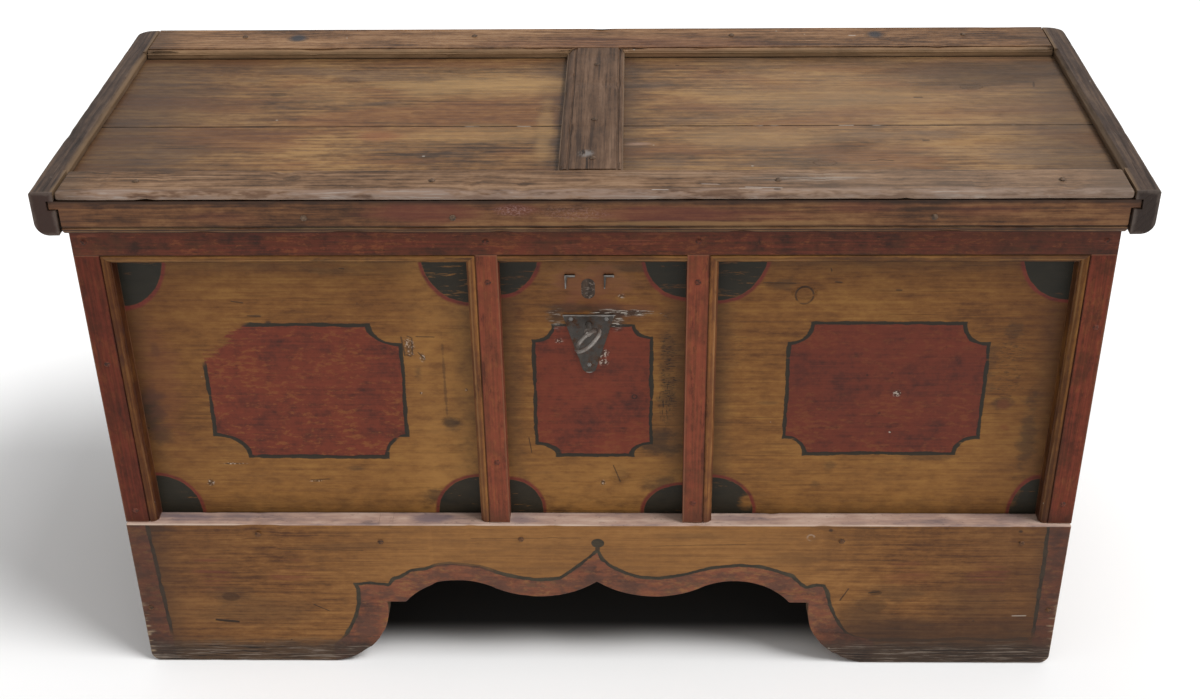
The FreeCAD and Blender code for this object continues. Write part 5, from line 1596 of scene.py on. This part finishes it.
@dataclass
class Lid:
    """The lid: two bare boards worn to a soft shine, with strips, cleats and fascia round them."""

    top: float = 0.6933
    seam: float = -0.04465
    nosing: float = -0.25065
    half_width: float = 0.6
    back_strip_front: float = 0.17535
    centre_strip: tuple[float, float] = (-0.002, 0.038)
    cleat_joint: float = 0.603
    fascia_half: float = 0.611
    fascia_grooves: tuple[tuple[float, float], ...] = ((0.6603, 0.0009), (0.656, 0.0009), (0.6512, 0.001))
    fascia_beads: tuple[float, float] = (0.6582, 0.6536)
    boards: tuple[WornBoard, ...] = (
        WornBoard("lid_front_board", "lid", "worn_lid", LEFT_TO_RIGHT, 0.0012, 0.0004, 0.001, 1.0),
        WornBoard("lid_back_board", "lid", "worn_lid", LEFT_TO_RIGHT, 0.0012, 0.0004, 0.001, 2.0),
        WornBoard("lid_front_strip", "lid", "worn_strips", LEFT_TO_RIGHT, 0.0042, 0.0009, 0.006, 3.0, 0.006),
        WornBoard("lid_back_strip", "lid", "worn_strips", LEFT_TO_RIGHT, 0.0016, 0.0006, 0.003, 4.0),
        WornBoard("lid_centre_strip", "lid", "worn_strips", FRONT_TO_BACK, 0.0014, 0.0006, 0.003, 5.0),
        WornBoard("lid_fascia", "lid", "painted_fascia", LEFT_TO_RIGHT, 0.001, 0.0005, 0.003, 6.0),
        WornBoard("left_cleat", "lid", "worn_cleats", FRONT_TO_BACK, 0.0034, 0.0008, 0.002, 7.0, 0.006),
        WornBoard("right_cleat", "lid", "worn_cleats", FRONT_TO_BACK, 0.0034, 0.0008, 0.002, 8.0, 0.006),
    )
    worn: OldFinish = OldFinish(
        (0.05, 0.025, 0.012), (0.18, 0.088, 0.033), (0.33, 0.185, 0.07), 0.42, 0.08, 0.65, 1.7,
        mottle=0.9, streaks=0.8,
    )

    def build(self) -> None:
        """Wears the lid's boards down and dresses all of it but its irons."""
        for board in self.boards:
            board.build()
        self.dress_boards()
        self.dress_front_strip()
        self.dress_back_strip()
        self.dress_centre_strip()
        self.dress_fascia()
        self.dress_cleats()

    def glow(self, g: Ground, layer: Layer, ragged: Field) -> Layer:
        """Lightens the middles of the two fields and darkens their ends, as hands and years have.

        Args:
            g: the finish's node tree.
            layer: the finish so far.
            ragged: random patches.

        Returns:
            The worn finish.
        """
        glows = Stain.table(
            (-0.15, 0.085, 0.15, 0.055, 1.0), (-0.15, -0.07, 0.13, 0.035, 0.6),
            (-0.33, 0.06, 0.08, 0.04, 0.35), (0.3, 0.04, 0.19, 0.05, 0.7), (0.18, -0.08, 0.12, 0.035, 0.75),
            (-0.06, -0.05, 0.014, 0.12, 0.7), (0.33, 0.11, 0.15, 0.02, 0.4),
        )
        light = g.marked(glows, g.x, g.y, ragged)
        g.hold(light)
        golden = g.mix((0.41, 0.25, 0.105), (0.37, 0.225, 0.1), g.x.step(-0.05, 0.15))
        layer = layer.under(Layer(g, golden, layer.rough, layer.height), light * 0.55)
        warm = g.cloud((5.0, 16.0, 16.0), 109.0, 3.0, 0.6)
        layer = layer.stained((0.185, 0.068, 0.025), warm.step(0.47, 0.62) * (1.0 - light) * 0.45)
        layer = layer.stained((0.1, 0.068, 0.052), warm.step(0.46, 0.34) * (1.0 - light) * 0.4)
        layer = layer.stained((0.075, 0.036, 0.019), g.x.step(-0.34, -0.5) * 0.35)
        layer = layer.stained((0.31, 0.205, 0.125), g.x.step(-0.02, 0.25) * ragged.step(0.25, 0.6) * 0.28)
        ends = (self.half_width - g.x.size() + (ragged - 0.5) * 0.1).step(0.15, 0.02) * 0.55
        back = (0.175 - g.y + (ragged - 0.5) * 0.05).step(0.06, 0.0) * 0.35
        corner = Stain(0.52, 0.12, 0.15, 0.07, 0.7).share(g.x, g.y, ragged)
        layer = layer.stained((0.062, 0.038, 0.025), ends.greater(back).greater(corner))
        middle, half = self.centre_strip
        strip = (half + 0.04 - (g.x - middle).size()).step(0.0, 0.0405)
        return layer.stained((0.05, 0.03, 0.02), strip * 0.55 * (1.0 - light))

    def dress_boards(self) -> None:
        """Dresses the two boards, with the dark seam between them."""
        timber = Timber(
            Grain.TOP_LEVEL, -0.01, -0.6, 0.0085, 0.07,
            (Knot(-0.0596, 0.0193, 0.008, 0.7), Knot(0.155, 0.128, 0.006, 0.9),
             Knot(0.478, 0.083, 0.008, 0.6),
             Knot(-0.405, 0.062, 0.006, 0.7), Knot(0.27, -0.145, 0.008, 0.5), Knot(-0.22, 0.008, 0.005, 0.6)),
            101.0,
        )
        g, figure, under = begin("worn_lid_boards", timber, BARE)
        layer = self.worn.lay(g, timber, figure)
        ragged = g.cloud((8.0, 26.0, 26.0), 103.0, 4.0, 0.62)
        streak = g.cloud((6.0, 150.0, 60.0), 104.0, 3.0, 0.6)
        layer = self.glow(g, layer, ragged)
        layer = layer.stained(
            (0.24, 0.085, 0.035), Stain(-0.26, -0.075, 0.035, 0.018, 0.55).share(g.x, g.y, ragged)
        )
        marks = Scratch.table(
            ((0.4, 0.041), (0.411, 0.041), 0.0026, 0.7), ((0.392, -0.089), (0.4, -0.0885), 0.0022, 0.7),
            ((0.322, -0.146), (0.336, -0.1425), 0.0014, 0.7), ((0.336, -0.1425), (0.35, -0.146), 0.0014, 0.7),
            ((0.56, 0.09), (0.557, 0.073), 0.0016, 0.6), ((-0.52, -0.1), (-0.34, -0.112), 0.0012, 0.4),
        )
        scars = g.marked(marks, g.x, g.y, streak)
        layer = layer.stained((0.04, 0.026, 0.018), scars, -0.8)
        g.hold(scars)
        rough = Stain(0.055, -0.098, 0.028, 0.012, 0.8, 0.8).share(g.x, g.y, ragged)
        layer = layer.stained((0.36, 0.235, 0.185), rough * streak.step(0.45, 0.58) * 0.6, 0.3)
        seam = (g.y - self.seam + (streak - 0.5) * 0.0012).size()
        layer = layer.stained(SOOT, seam.step(0.0016, 0.0006) * 0.85, -1.2)
        dashes = g.cloud((30.0, 40.0, 40.0), 106.0, 2.0, 0.6).step(0.56, 0.64) * seam.step(0.0014, 0.0005)
        layer = layer.stained((0.42, 0.36, 0.31), dashes * g.x.step(-0.35, -0.1) * 0.9)
        layer = scuffed(g, layer, ragged, 108.0)
        face = g.z.step(self.top - 0.0032, self.top - 0.0022)
        clothe(g.close(under.under(layer, face), 0.0005, gloss=0.26), "lid_front_board", "lid_back_board")

    def dress_front_strip(self) -> None:
        """Dresses the front strip, scratched on top and rubbed grey along its nosing, where the pale band is
        partly wear and partly a painted highlight, with a painted shade under the nosing.
        """
        timber = Timber(Grain.TOP_LEVEL, -0.9, 0.1, 0.007, 0.04, (Knot(-0.34, -0.212, 0.006, 0.6),), 111.0)
        finish = OldFinish(
            (0.056, 0.03, 0.017), (0.178, 0.097, 0.051), (0.295, 0.18, 0.105), 0.5, 0.1, 0.75, 1.5,
            mottle=0.9, streaks=0.6,
        )
        g, _, layer = begin("worn_front_strip", timber, finish)
        ragged = g.cloud((10.0, 40.0, 40.0), 113.0, 4.0, 0.65)
        fibre = g.cloud((12.0, 420.0, 420.0), 114.0, 3.0, 0.7)
        patches = Stain.table((0.245, -0.214, 0.085, 0.014, 0.9), (0.1, -0.205, 0.08, 0.01, 0.4))
        grey = g.marked(patches, g.x, g.y, ragged)
        layer = layer.stained((0.33, 0.29, 0.25), grey * fibre.step(0.48, 0.6) * 0.8)
        layer = layer.stained((0.07, 0.055, 0.045), grey * fibre.step(0.46, 0.38) * 0.8, -0.6)
        # the pale band along the nosing is partly wear and partly a painted highlight
        front = g.y - self.nosing + (ragged - 0.5) * 0.008
        patchy = g.cloud((14.0, 60.0, 60.0), 117.0, 4.0, 0.7)
        layer = layer.stained((0.275, 0.19, 0.145), front.step(0.014, 0.005) * patchy.step(0.32, 0.56) * 0.8)
        layer = layer.stained((0.1, 0.052, 0.034), front.step(0.012, 0.002) * patchy.step(0.47, 0.36) * 0.7)
        rubbed = front.step(0.009, 0.003) * fibre.step(0.5, 0.6) * patchy.step(0.45, 0.58)
        layer = layer.stained((0.34, 0.28, 0.24), rubbed * 0.8)
        layer = layer.stained((0.1, 0.05, 0.032), front.step(0.012, 0.0) * ragged.step(0.55, 0.66) * 0.5)
        layer = self.grimy_ends(g, layer, ragged)
        layer = layer.stained((0.36, 0.265, 0.195), g.x.step(0.05, 0.35) * 0.2)
        # painted shade along the bottom of the nosing
        low = g.z.step(0.696, 0.6935) * g.y.step(-0.2485, -0.25)
        layer = layer.stained((0.025, 0.016, 0.011), low * 0.8)
        scratches = Scratch.table(
            ((0.172, -0.2385), (0.213, -0.2402), 0.0012), ((0.165, -0.2415), (0.19, -0.242), 0.001, 0.6),
            ((0.1235, -0.23), (0.144, -0.2312), 0.0011, 0.6), ((0.068, -0.244), (0.086, -0.2442), 0.0012),
        )
        layer = layer.stained((0.5, 0.45, 0.41), g.marked(scratches, g.x, g.y, ragged))
        clothe(g.close(scuffed(g, layer, ragged, 116.0, 1.9), 0.0005, gloss=0.2), "lid_front_strip")

    def grimy_ends(self, g: Ground, layer: Layer, ragged: Field) -> Layer:
        """Darkens the two ends of a strip that runs along the lid.

        Args:
            g: the finish's node tree.
            layer: the finish so far.
            ragged: random patches.

        Returns:
            The darkened finish.
        """
        ends = (self.half_width - g.x.size() + (ragged - 0.5) * 0.05).step(0.05, 0.0) * 0.5
        return layer.stained((0.06, 0.04, 0.028), ends)

    def dress_back_strip(self) -> None:
        """Dresses the back strip with its two grey knots."""
        timber = Timber(
            Grain.TOP_LEVEL, 1.2, 0.1, 0.008, 0.05,
            (Knot(-0.4075, 0.2221, 0.009, 0.2), Knot(0.3738, 0.2287, 0.009, 0.2)), 121.0,
        )
        finish = OldFinish(
            (0.06, 0.03, 0.016), (0.205, 0.105, 0.05), (0.33, 0.19, 0.1), 0.48, 0.1, 0.6, 1.5,
            mottle=0.9, streaks=0.8,
        )
        g, _, layer = begin("worn_back_strip", timber, finish)
        ragged = g.cloud((10.0, 40.0, 40.0), 123.0, 4.0, 0.65)
        for spot in (
            Stain(-0.4075, 0.2221, 0.014, 0.016, 0.95, 0.3), Stain(0.3738, 0.2287, 0.013, 0.015, 0.9, 0.3)
        ):
            layer = layer.stained((0.045, 0.045, 0.05), spot.share(g.x, g.y, ragged), -0.4)
        front = (g.y - self.back_strip_front + (ragged - 0.5) * 0.006).step(0.009, 0.002)
        layer = layer.stained((0.255, 0.165, 0.09), front * 0.65)
        red = Stain(0.05, 0.2, 0.22, 0.03, 0.5).share(g.x, g.y, ragged)
        layer = layer.stained((0.17, 0.062, 0.034), red * 0.6)
        dash = Scratch((0.338, 0.2253), (0.347, 0.2253), 0.0016).share(g.x, g.y, ragged)
        layer = layer.stained((0.5, 0.45, 0.4), dash)
        low = g.z.step(0.696, 0.6935)
        layer = layer.stained((0.022, 0.014, 0.01), low * 0.85)
        layer = self.grimy_ends(g, layer, ragged)
        clothe(g.close(scuffed(g, layer, ragged, 126.0, 1.2), 0.0005, gloss=0.2), "lid_back_strip")

    def dress_centre_strip(self) -> None:
        """Dresses the dark strip down the middle, with its row of dots and the grey patch by its foot."""
        timber = Timber(Grain.TOP_DEEP, 0.25, 0.08, 0.006, 0.02, (), 131.0)
        finish = OldFinish(
            (0.045, 0.024, 0.014), (0.12, 0.066, 0.038), (0.195, 0.116, 0.072), 0.5, 0.12, 0.6, 1.0
        )
        g, _, layer = begin("worn_centre_strip", timber, finish)
        ragged = g.cloud((40.0, 14.0, 40.0), 133.0, 4.0, 0.65)
        patch = Stain(-0.008, -0.149, 0.011, 0.012, 1.0, 0.9).share(g.x, g.y, ragged)
        layer = layer.stained((0.22, 0.2, 0.185), patch * ragged.step(0.44, 0.52) * 0.8, 0.6)
        layer = layer.stained((0.016, 0.013, 0.012), patch * ragged.step(0.5, 0.42) * 0.9, -0.8)
        middle, half = self.centre_strip
        side = (half - (g.x - middle).size() + (ragged - 0.5) * 0.002).step(0.0035, 0.0005)
        layer = layer.stained((0.2, 0.135, 0.085), side * 0.45)
        low = g.z.step(0.6965, 0.6935)
        layer = layer.stained((0.02, 0.013, 0.009), low * 0.9)
        split = Scratch((-0.007, -0.162), (-0.006, -0.189), 0.0012).share(g.x, g.y, ragged)
        layer = layer.stained(SOOT, split, -1.5)
        row = (g.x + 0.008 + (ragged - 0.5) * 0.004).size().step(0.0034, 0.0022) * g.y.step(-0.085, -0.08)
        dots = g.specks((60.0, 130.0, 60.0), 137.0, 0.16, 0.55) * row * g.y.step(0.016, 0.012)
        layer = layer.stained((0.5, 0.45, 0.4), dots * 0.9)
        clothe(g.close(scuffed(g, layer, ragged, 136.0), 0.0006, gloss=0.2), "lid_centre_strip")

    def dress_fascia(self) -> None:
        """Dresses the moulded fascia: brown wood with the last of its red paint."""
        timber = Timber(Grain.FRONT_LEVEL, 1.3, 0.1, 0.007, 0.03, (), 141.0)
        finish = OldFinish(
            (0.046, 0.02, 0.01), (0.13, 0.054, 0.022), (0.225, 0.11, 0.045), 0.5, 0.1, 0.65, 1.6,
            mottle=0.9, streaks=0.45,
        )
        g, figure, layer = begin("worn_fascia", timber, finish)
        ragged = g.cloud((9.0, 40.0, 55.0), 143.0, 4.0, 0.65)
        scrap = g.cloud((26.0, 60.0, 80.0), 144.0, 3.0, 0.65)
        traces = Stain.table(
            (-0.19, 0.679, 0.085, 0.016, 0.9), (-0.085, 0.682, 0.035, 0.009, 0.7),
            (0.1, 0.676, 0.14, 0.013, 0.8), (0.3, 0.684, 0.05, 0.008, 0.4), (-0.42, 0.672, 0.05, 0.008, 0.3),
            (0.45, 0.68, 0.06, 0.01, 0.35),
        )
        red = g.marked(traces, g.x, g.z, ragged)
        layer = layer.stained((0.135, 0.038, 0.024), red * 0.8)
        chalk = g.cloud((330.0, 60.0, 520.0), 146.0, 3.0, 0.65).step(0.46, 0.6)
        remnants = Stain.table((-0.088, 0.681, 0.024, 0.007, 1.0), (-0.02, 0.677, 0.05, 0.01, 0.5))
        pink = g.marked(remnants, g.x, g.z, scrap)
        layer = layer.stained((0.36, 0.22, 0.2), pink * chalk * 0.42)
        rubbed = Stain(0.09, 0.664, 0.22, 0.0035, 0.9).share(g.x, g.z, ragged)
        layer = layer.stained((0.24, 0.135, 0.055), rubbed * 0.7)
        ends = (self.fascia_half - g.x.size() + (ragged - 0.5) * 0.04).step(0.05, 0.0) * 0.4
        layer = layer.stained((0.125, 0.056, 0.03), ends)
        for height, width in self.fascia_grooves:
            groove = (g.z - height).size().step(width * 1.6, width * 0.5)
            layer = layer.stained((0.018, 0.011, 0.008), groove * 0.75)
        upper, lower = ((g.z - height).size().step(0.0012, 0.0002) for height in self.fascia_beads)
        bead = upper.greater(lower)
        layer = layer.stained((0.22, 0.145, 0.075), bead * ragged.step(0.4, 0.6) * 0.6)
        shade = (g.z + (scrap - 0.5) * 0.006).step(0.6855, 0.693)
        layer = layer.stained((0.022, 0.013, 0.009), shade * 0.75)
        face = g.y.step(-0.2352, -0.2356)
        back = BARE.lay(g, timber, figure)
        clothe(
            g.close(scuffed(g, back.under(layer, face), scrap, 146.0, 1.3), 0.0004, gloss=0.2), "lid_fascia"
        )

    def dress_cleats(self) -> None:
        """Dresses the two dark cleats, rubbed along their arrises and their inner edges."""
        timber = Timber(Grain.TOP_DEEP, 0.95, -0.4, 0.007, 0.03, (), 151.0)
        finish = OldFinish(
            (0.024, 0.015, 0.011), (0.062, 0.04, 0.03), (0.122, 0.08, 0.055), 0.5, 0.12, 0.7, 1.4, streaks=0.5
        )
        g, _, layer = begin("worn_cleats", timber, finish)
        ragged = g.cloud((40.0, 12.0, 40.0), 153.0, 4.0, 0.65)
        arris = g.edge("right_cleat", mirrored=True)
        rub = (arris + (ragged - 0.5) * 0.01).step(0.006, 0.0008)
        layer = layer.stained((0.17, 0.12, 0.082), rub * 0.3)
        inner = (g.x.size() - self.cleat_joint + (ragged - 0.5) * 0.006).step(0.006, 0.001)
        inner = inner * g.z.step(0.69, 0.7)
        layer = layer.stained((0.2, 0.125, 0.065), inner * 0.6)
        ends = (g.y - self.nosing + (ragged - 0.5) * 0.004).step(0.004, 0.0015)
        layer = layer.stained((0.024, 0.0145, 0.011), ends * 0.92)
        layer = layer.stained((0.05, 0.021, 0.014), ends * g.x.step(0.1, -0.1) * 0.5)
        layer = layer.stained((0.19, 0.15, 0.125), (g.y - self.nosing).step(0.005, 0.003) * rub * 0.32)
        clothe(g.close(scuffed(g, layer, ragged, 156.0), 0.0006, gloss=0.2), "left_cleat", "right_cleat")


def scuffed(g: Ground, layer: Layer, ragged: Field, seed: float, amount: float = 1.0) -> Layer:
    """Adds dark dents, pale paint drips and fine scratches to a worn top.

    Args:
        g: the finish's node tree.
        layer: the finish so far.
        ragged: its random patches.
        seed: which run of the patterns.
        amount: how many marks there are, 1 for a few.

    Returns:
        The scuffed finish.
    """
    dents = g.specks((16.0, 24.0, 24.0), seed, 0.07, min(0.9, 0.32 * amount))
    layer = layer.stained((0.03, 0.02, 0.014), dents * 0.6, -0.6)
    drips = g.specks((26.0, 44.0, 44.0), seed + 1.0, 0.055, min(0.9, 0.16 * amount))
    layer = layer.stained((0.46, 0.42, 0.36), drips * 0.85, 0.3)
    scrape = g.cloud((70.0, 240.0, 240.0), seed + 2.0, 2.0, 0.6) + (ragged - 0.5) * 0.5
    return layer.stained((0.34, 0.28, 0.22), scrape.step(0.8, 0.86) * min(1.0, 0.5 * amount))


@dataclass(frozen=True)
class ForgedIron:
    """Hammered iron: its dark skin, its rust and its rubbed edges."""

    name: str
    skin: Rgb = (0.055, 0.048, 0.043)
    rust: Rgb = (0.1, 0.048, 0.026)
    bright: Rgb = (0.3, 0.28, 0.26)
    rusted: float = 0.45
    rubbed: float = 0.5
    seed: float = 200.0

    def build(self, *nodes: str) -> None:
        """Dresses iron solids.

        Args:
            nodes: the solids that get this iron.
        """
        g = Ground(self.name)
        dents = g.cloud((120.0, 120.0, 120.0), self.seed, 3.0, 0.5)
        pits = g.cloud((600.0, 600.0, 600.0), self.seed + 1.0, 3.0, 0.6)
        bloom = g.cloud((70.0, 70.0, 70.0), self.seed + 2.0, 4.0, 0.6)
        arris = g.edge(nodes[0])
        colour = g.tones(
            (dents - 0.5) * 1.2 + 0.5, (0.2, tuple(c * 0.55 for c in self.skin)), (0.8, self.skin)
        )
        rusty = (bloom + (pits - 0.5) * 0.5).step(0.48, 0.66) * self.rusted
        colour = g.mix(colour, self.rust, rusty)
        rub = (arris + (dents - 0.5) * 0.004).step(0.0022, 0.0003) * self.rubbed
        colour = g.mix(colour, self.bright, rub)
        rough = rusty * 0.4 - rub * 0.2 + (pits - 0.5) * 0.2 + 0.48
        layer = Layer(g, colour, rough, dents * 1.2 + pits * 0.35)
        clothe(g.close(layer, 0.0005, metal=0.85), *nodes)


@dataclass
class Ironwork:
    """Hinges, lock, key, escutcheon and nails."""

    irons: tuple[tuple[ForgedIron, tuple[str, ...]], ...] = (
        (ForgedIron("hinge_iron", seed=201.0),
         ("left_hinge_strap", "right_hinge_strap", "left_hinge_leaf", "right_hinge_leaf",
          "left_hinge_pin", "right_hinge_pin")),
        (ForgedIron("lock_iron", seed=205.0), ("lock_plate", "lock_case", "bolt_keepers", "lid_staple")),
        (ForgedIron("bolt_iron", (0.14, 0.13, 0.12), rusted=0.2, seed=209.0), ("lock_bolt",)),
        (ForgedIron("clinch_iron", (0.085, 0.075, 0.066), rusted=0.4, rubbed=0.6, seed=213.0),
         ("lock_clinches",)),
        (ForgedIron("nail_iron", (0.06, 0.052, 0.046), rusted=0.6, rubbed=0.0, seed=225.0),
         ("hinge_leaf_nails", "lid_iron_nails")),
        (ForgedIron("key_iron", (0.36, 0.33, 0.3), bright=(0.62, 0.6, 0.57), rusted=0.4, rubbed=0.9,
          seed=217.0),
         ("key",)),
        (ForgedIron("escutcheon_iron", (0.072, 0.063, 0.056), rusted=0.75, rubbed=0.7, seed=221.0),
         ("escutcheon",)),
        # the escutcheon nails' iron is painted pale, as a highlight on their domed heads
        (ForgedIron("escutcheon_nail_highlight_iron", (0.22, 0.21, 0.2), rusted=0.3, seed=229.0),
         ("escutcheon_nails",)),
    )

    def build(self) -> None:
        """Dresses every iron."""
        for iron, nodes in self.irons:
            iron.build(*nodes)
        self.dress_carcass_nails()
        self.dress_lid_nails()

    def dress_carcass_nails(self) -> None:
        """Dresses the carcass nails: painted over with the front, and rusty where the paint has gone."""
        g = Ground("painted_nails")
        worn = g.cloud((260.0, 260.0, 260.0), 231.0, 3.0, 0.6)
        front = g.y.step(-0.205, -0.208)
        upper = g.z.step(0.23, 0.231) * front
        colour = g.mix((0.045, 0.026, 0.017), (0.13, 0.058, 0.024), front)
        colour = g.mix(colour, (0.125, 0.034, 0.019), upper)
        colour = g.mix(colour, (0.03, 0.02, 0.015), worn.step(0.46, 0.6) * 0.8)
        clothe(g.close(Layer(g, colour, worn * 0.3 + 0.5, worn), 0.0004, gloss=0.2), "carcass_nails")

    def dress_lid_nails(self) -> None:
        """Dresses the lid nails: worn down to the brown of the wood."""
        g = Ground("worn_nails")
        worn = g.cloud((260.0, 260.0, 260.0), 235.0, 3.0, 0.6)
        stops = (0.35, (0.045, 0.028, 0.018)), (0.52, (0.105, 0.062, 0.036)), (0.7, (0.17, 0.11, 0.07))
        colour = g.tones(worn, *stops)
        clothe(g.close(Layer(g, colour, worn * 0.3 + 0.4, worn), 0.0004, gloss=0.3), "lid_nails")


@dataclass
class Studio:
    """The white floor with a painted shadow under the chest, the soft light from the upper right, and the
    camera.
    """

    floor_half: float = 60.0
    floor_dull: Rgb = (0.925, 0.925, 0.925)
    floor_pale: Rgb = (0.945, 0.945, 0.945)
    # the colour of the painted shadow under the chest
    floor_painted_shadow: Rgb = (0.045, 0.045, 0.045)
    floor_glow: float = 0.16
    # the half size and middle of the chest's footprint, where the shadow is painted on the floor
    painted_shadow_half: tuple[float, float] = (0.575, 0.222)
    painted_shadow_middle: float = 0.015
    sky: float = 0.52
    sun: float = 2.45
    sun_from: Vector = field(default_factory=lambda: Vector((0.58, -0.2, 0.79)))
    sun_width: float = 26.0
    eye: Vector = field(default_factory=lambda: Vector((0.0466, -1.91855, 1.5246)))
    yaw: float = -1.324
    down: float = 31.564
    roll: float = -0.703
    lens: float = 50.0

    def build(self) -> None:
        """Makes the floor, the lights and the camera."""
        self.lay_floor()
        self.hang_lights()
        self.set_camera()

    def lay_floor(self) -> None:
        """Lays a wide pale floor, with a painted dark shadow under the chest and a glow for camera rays that
        fades near the chest and on its left as painted shade.
        """
        bpy.ops.mesh.primitive_plane_add(size=self.floor_half * 2)
        floor = bpy.context.object
        floor.name = "studio_floor"
        g = Ground("pale_floor")
        dust = g.cloud((3.0, 3.0, 3.0), 300.0, 2.0)
        beside = (g.x.size() - self.painted_shadow_half[0]).greater(
            (g.y - self.painted_shadow_middle).size() - self.painted_shadow_half[1]
        )
        # painted shadow: the floor turns dark inside the chest's footprint
        shade = beside.step(0.004, -0.055)
        pale = g.tones(dust, (0.0, self.floor_dull), (1.0, self.floor_pale))
        shader = g.tree.nodes.new("ShaderNodeBsdfDiffuse")
        g.plug(g.mix(pale, self.floor_painted_shadow, shade), shader.inputs["Color"])
        path = g.tree.nodes.new("ShaderNodeLightPath")
        seen = Field(g, path.outputs["Is Camera Ray"])
        for way in ("Is Glossy Ray", "Is Transmission Ray"):
            seen = seen.greater(Field(g, path.outputs[way]))
        glow = g.tree.nodes.new("ShaderNodeEmission")
        # the glow is weakest next to the chest and weaker on its left, which paints shade on the floor there
        glow_outside_painted_shade = beside.step(0.02, 0.55) - beside.step(0.6, 0.1) * g.x.step(-0.55, -0.65) * 0.5
        g.plug(seen * glow_outside_painted_shade.greater(0.0) * self.floor_glow, glow.inputs["Strength"])
        both = g.tree.nodes.new("ShaderNodeAddShader")
        g.tree.links.new(shader.outputs[0], both.inputs[0])
        g.tree.links.new(glow.outputs[0], both.inputs[1])
        out = g.tree.nodes.new("ShaderNodeOutputMaterial")
        g.tree.links.new(both.outputs[0], out.inputs["Surface"])
        floor.data.materials.append(g.material)

    def hang_lights(self) -> None:
        """Sets an even white sky and one wide soft light."""
        world = bpy.data.worlds.new("studio_sky")
        world.use_nodes = True
        shade = world.node_tree.nodes["Background"]
        shade.inputs["Color"].default_value = (1.0, 1.0, 1.0, 1.0)
        shade.inputs["Strength"].default_value = self.sky
        bpy.context.scene.world = world
        lamp = bpy.data.lights.new("soft_light", "SUN")
        lamp.energy = self.sun
        lamp.angle = math.radians(self.sun_width)
        hung = bpy.data.objects.new("soft_light", lamp)
        hung.rotation_mode = "QUATERNION"
        hung.rotation_quaternion = self.sun_from.to_track_quat("Z", "Y")
        bpy.context.scene.collection.objects.link(hung)

    def set_camera(self) -> None:
        """Sets the camera by its place, its turn, its tilt and its roll."""
        yaw, down, roll = (math.radians(v) for v in (self.yaw, self.down, self.roll))
        level = Vector((math.sin(yaw), math.cos(yaw), 0))
        right = Vector((math.cos(yaw), -math.sin(yaw), 0))
        rise = Vector((0, 0, 1))
        ahead = level * math.cos(down) - rise * math.sin(down)
        up = level * math.sin(down) + rise * math.cos(down)
        side = right * math.cos(roll) + up * math.sin(roll)
        top = up * math.cos(roll) - right * math.sin(roll)
        turn = Matrix((side, top, -ahead)).transposed().to_4x4()
        lens = bpy.data.cameras.new("camera")
        lens.lens, lens.sensor_width, lens.clip_end = self.lens, 36.0, 120.0
        camera = bpy.data.objects.new("camera", lens)
        camera.matrix_world = Matrix.Translation(self.eye) @ turn
        bpy.context.scene.collection.objects.link(camera)
        bpy.context.scene.camera = camera
        bpy.context.scene.view_settings.view_transform = "Standard"


def main() -> None:
    """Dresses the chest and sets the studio."""
    logging.basicConfig(level=logging.INFO, format="%(message)s")
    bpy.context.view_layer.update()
    for part in (Studio(), Front(), Plinth(), Carcass(), Lid(), Ironwork()):
        part.build()
        log.info("%s is done", type(part).__name__.lower())


if __name__ == "__main__":
    main()
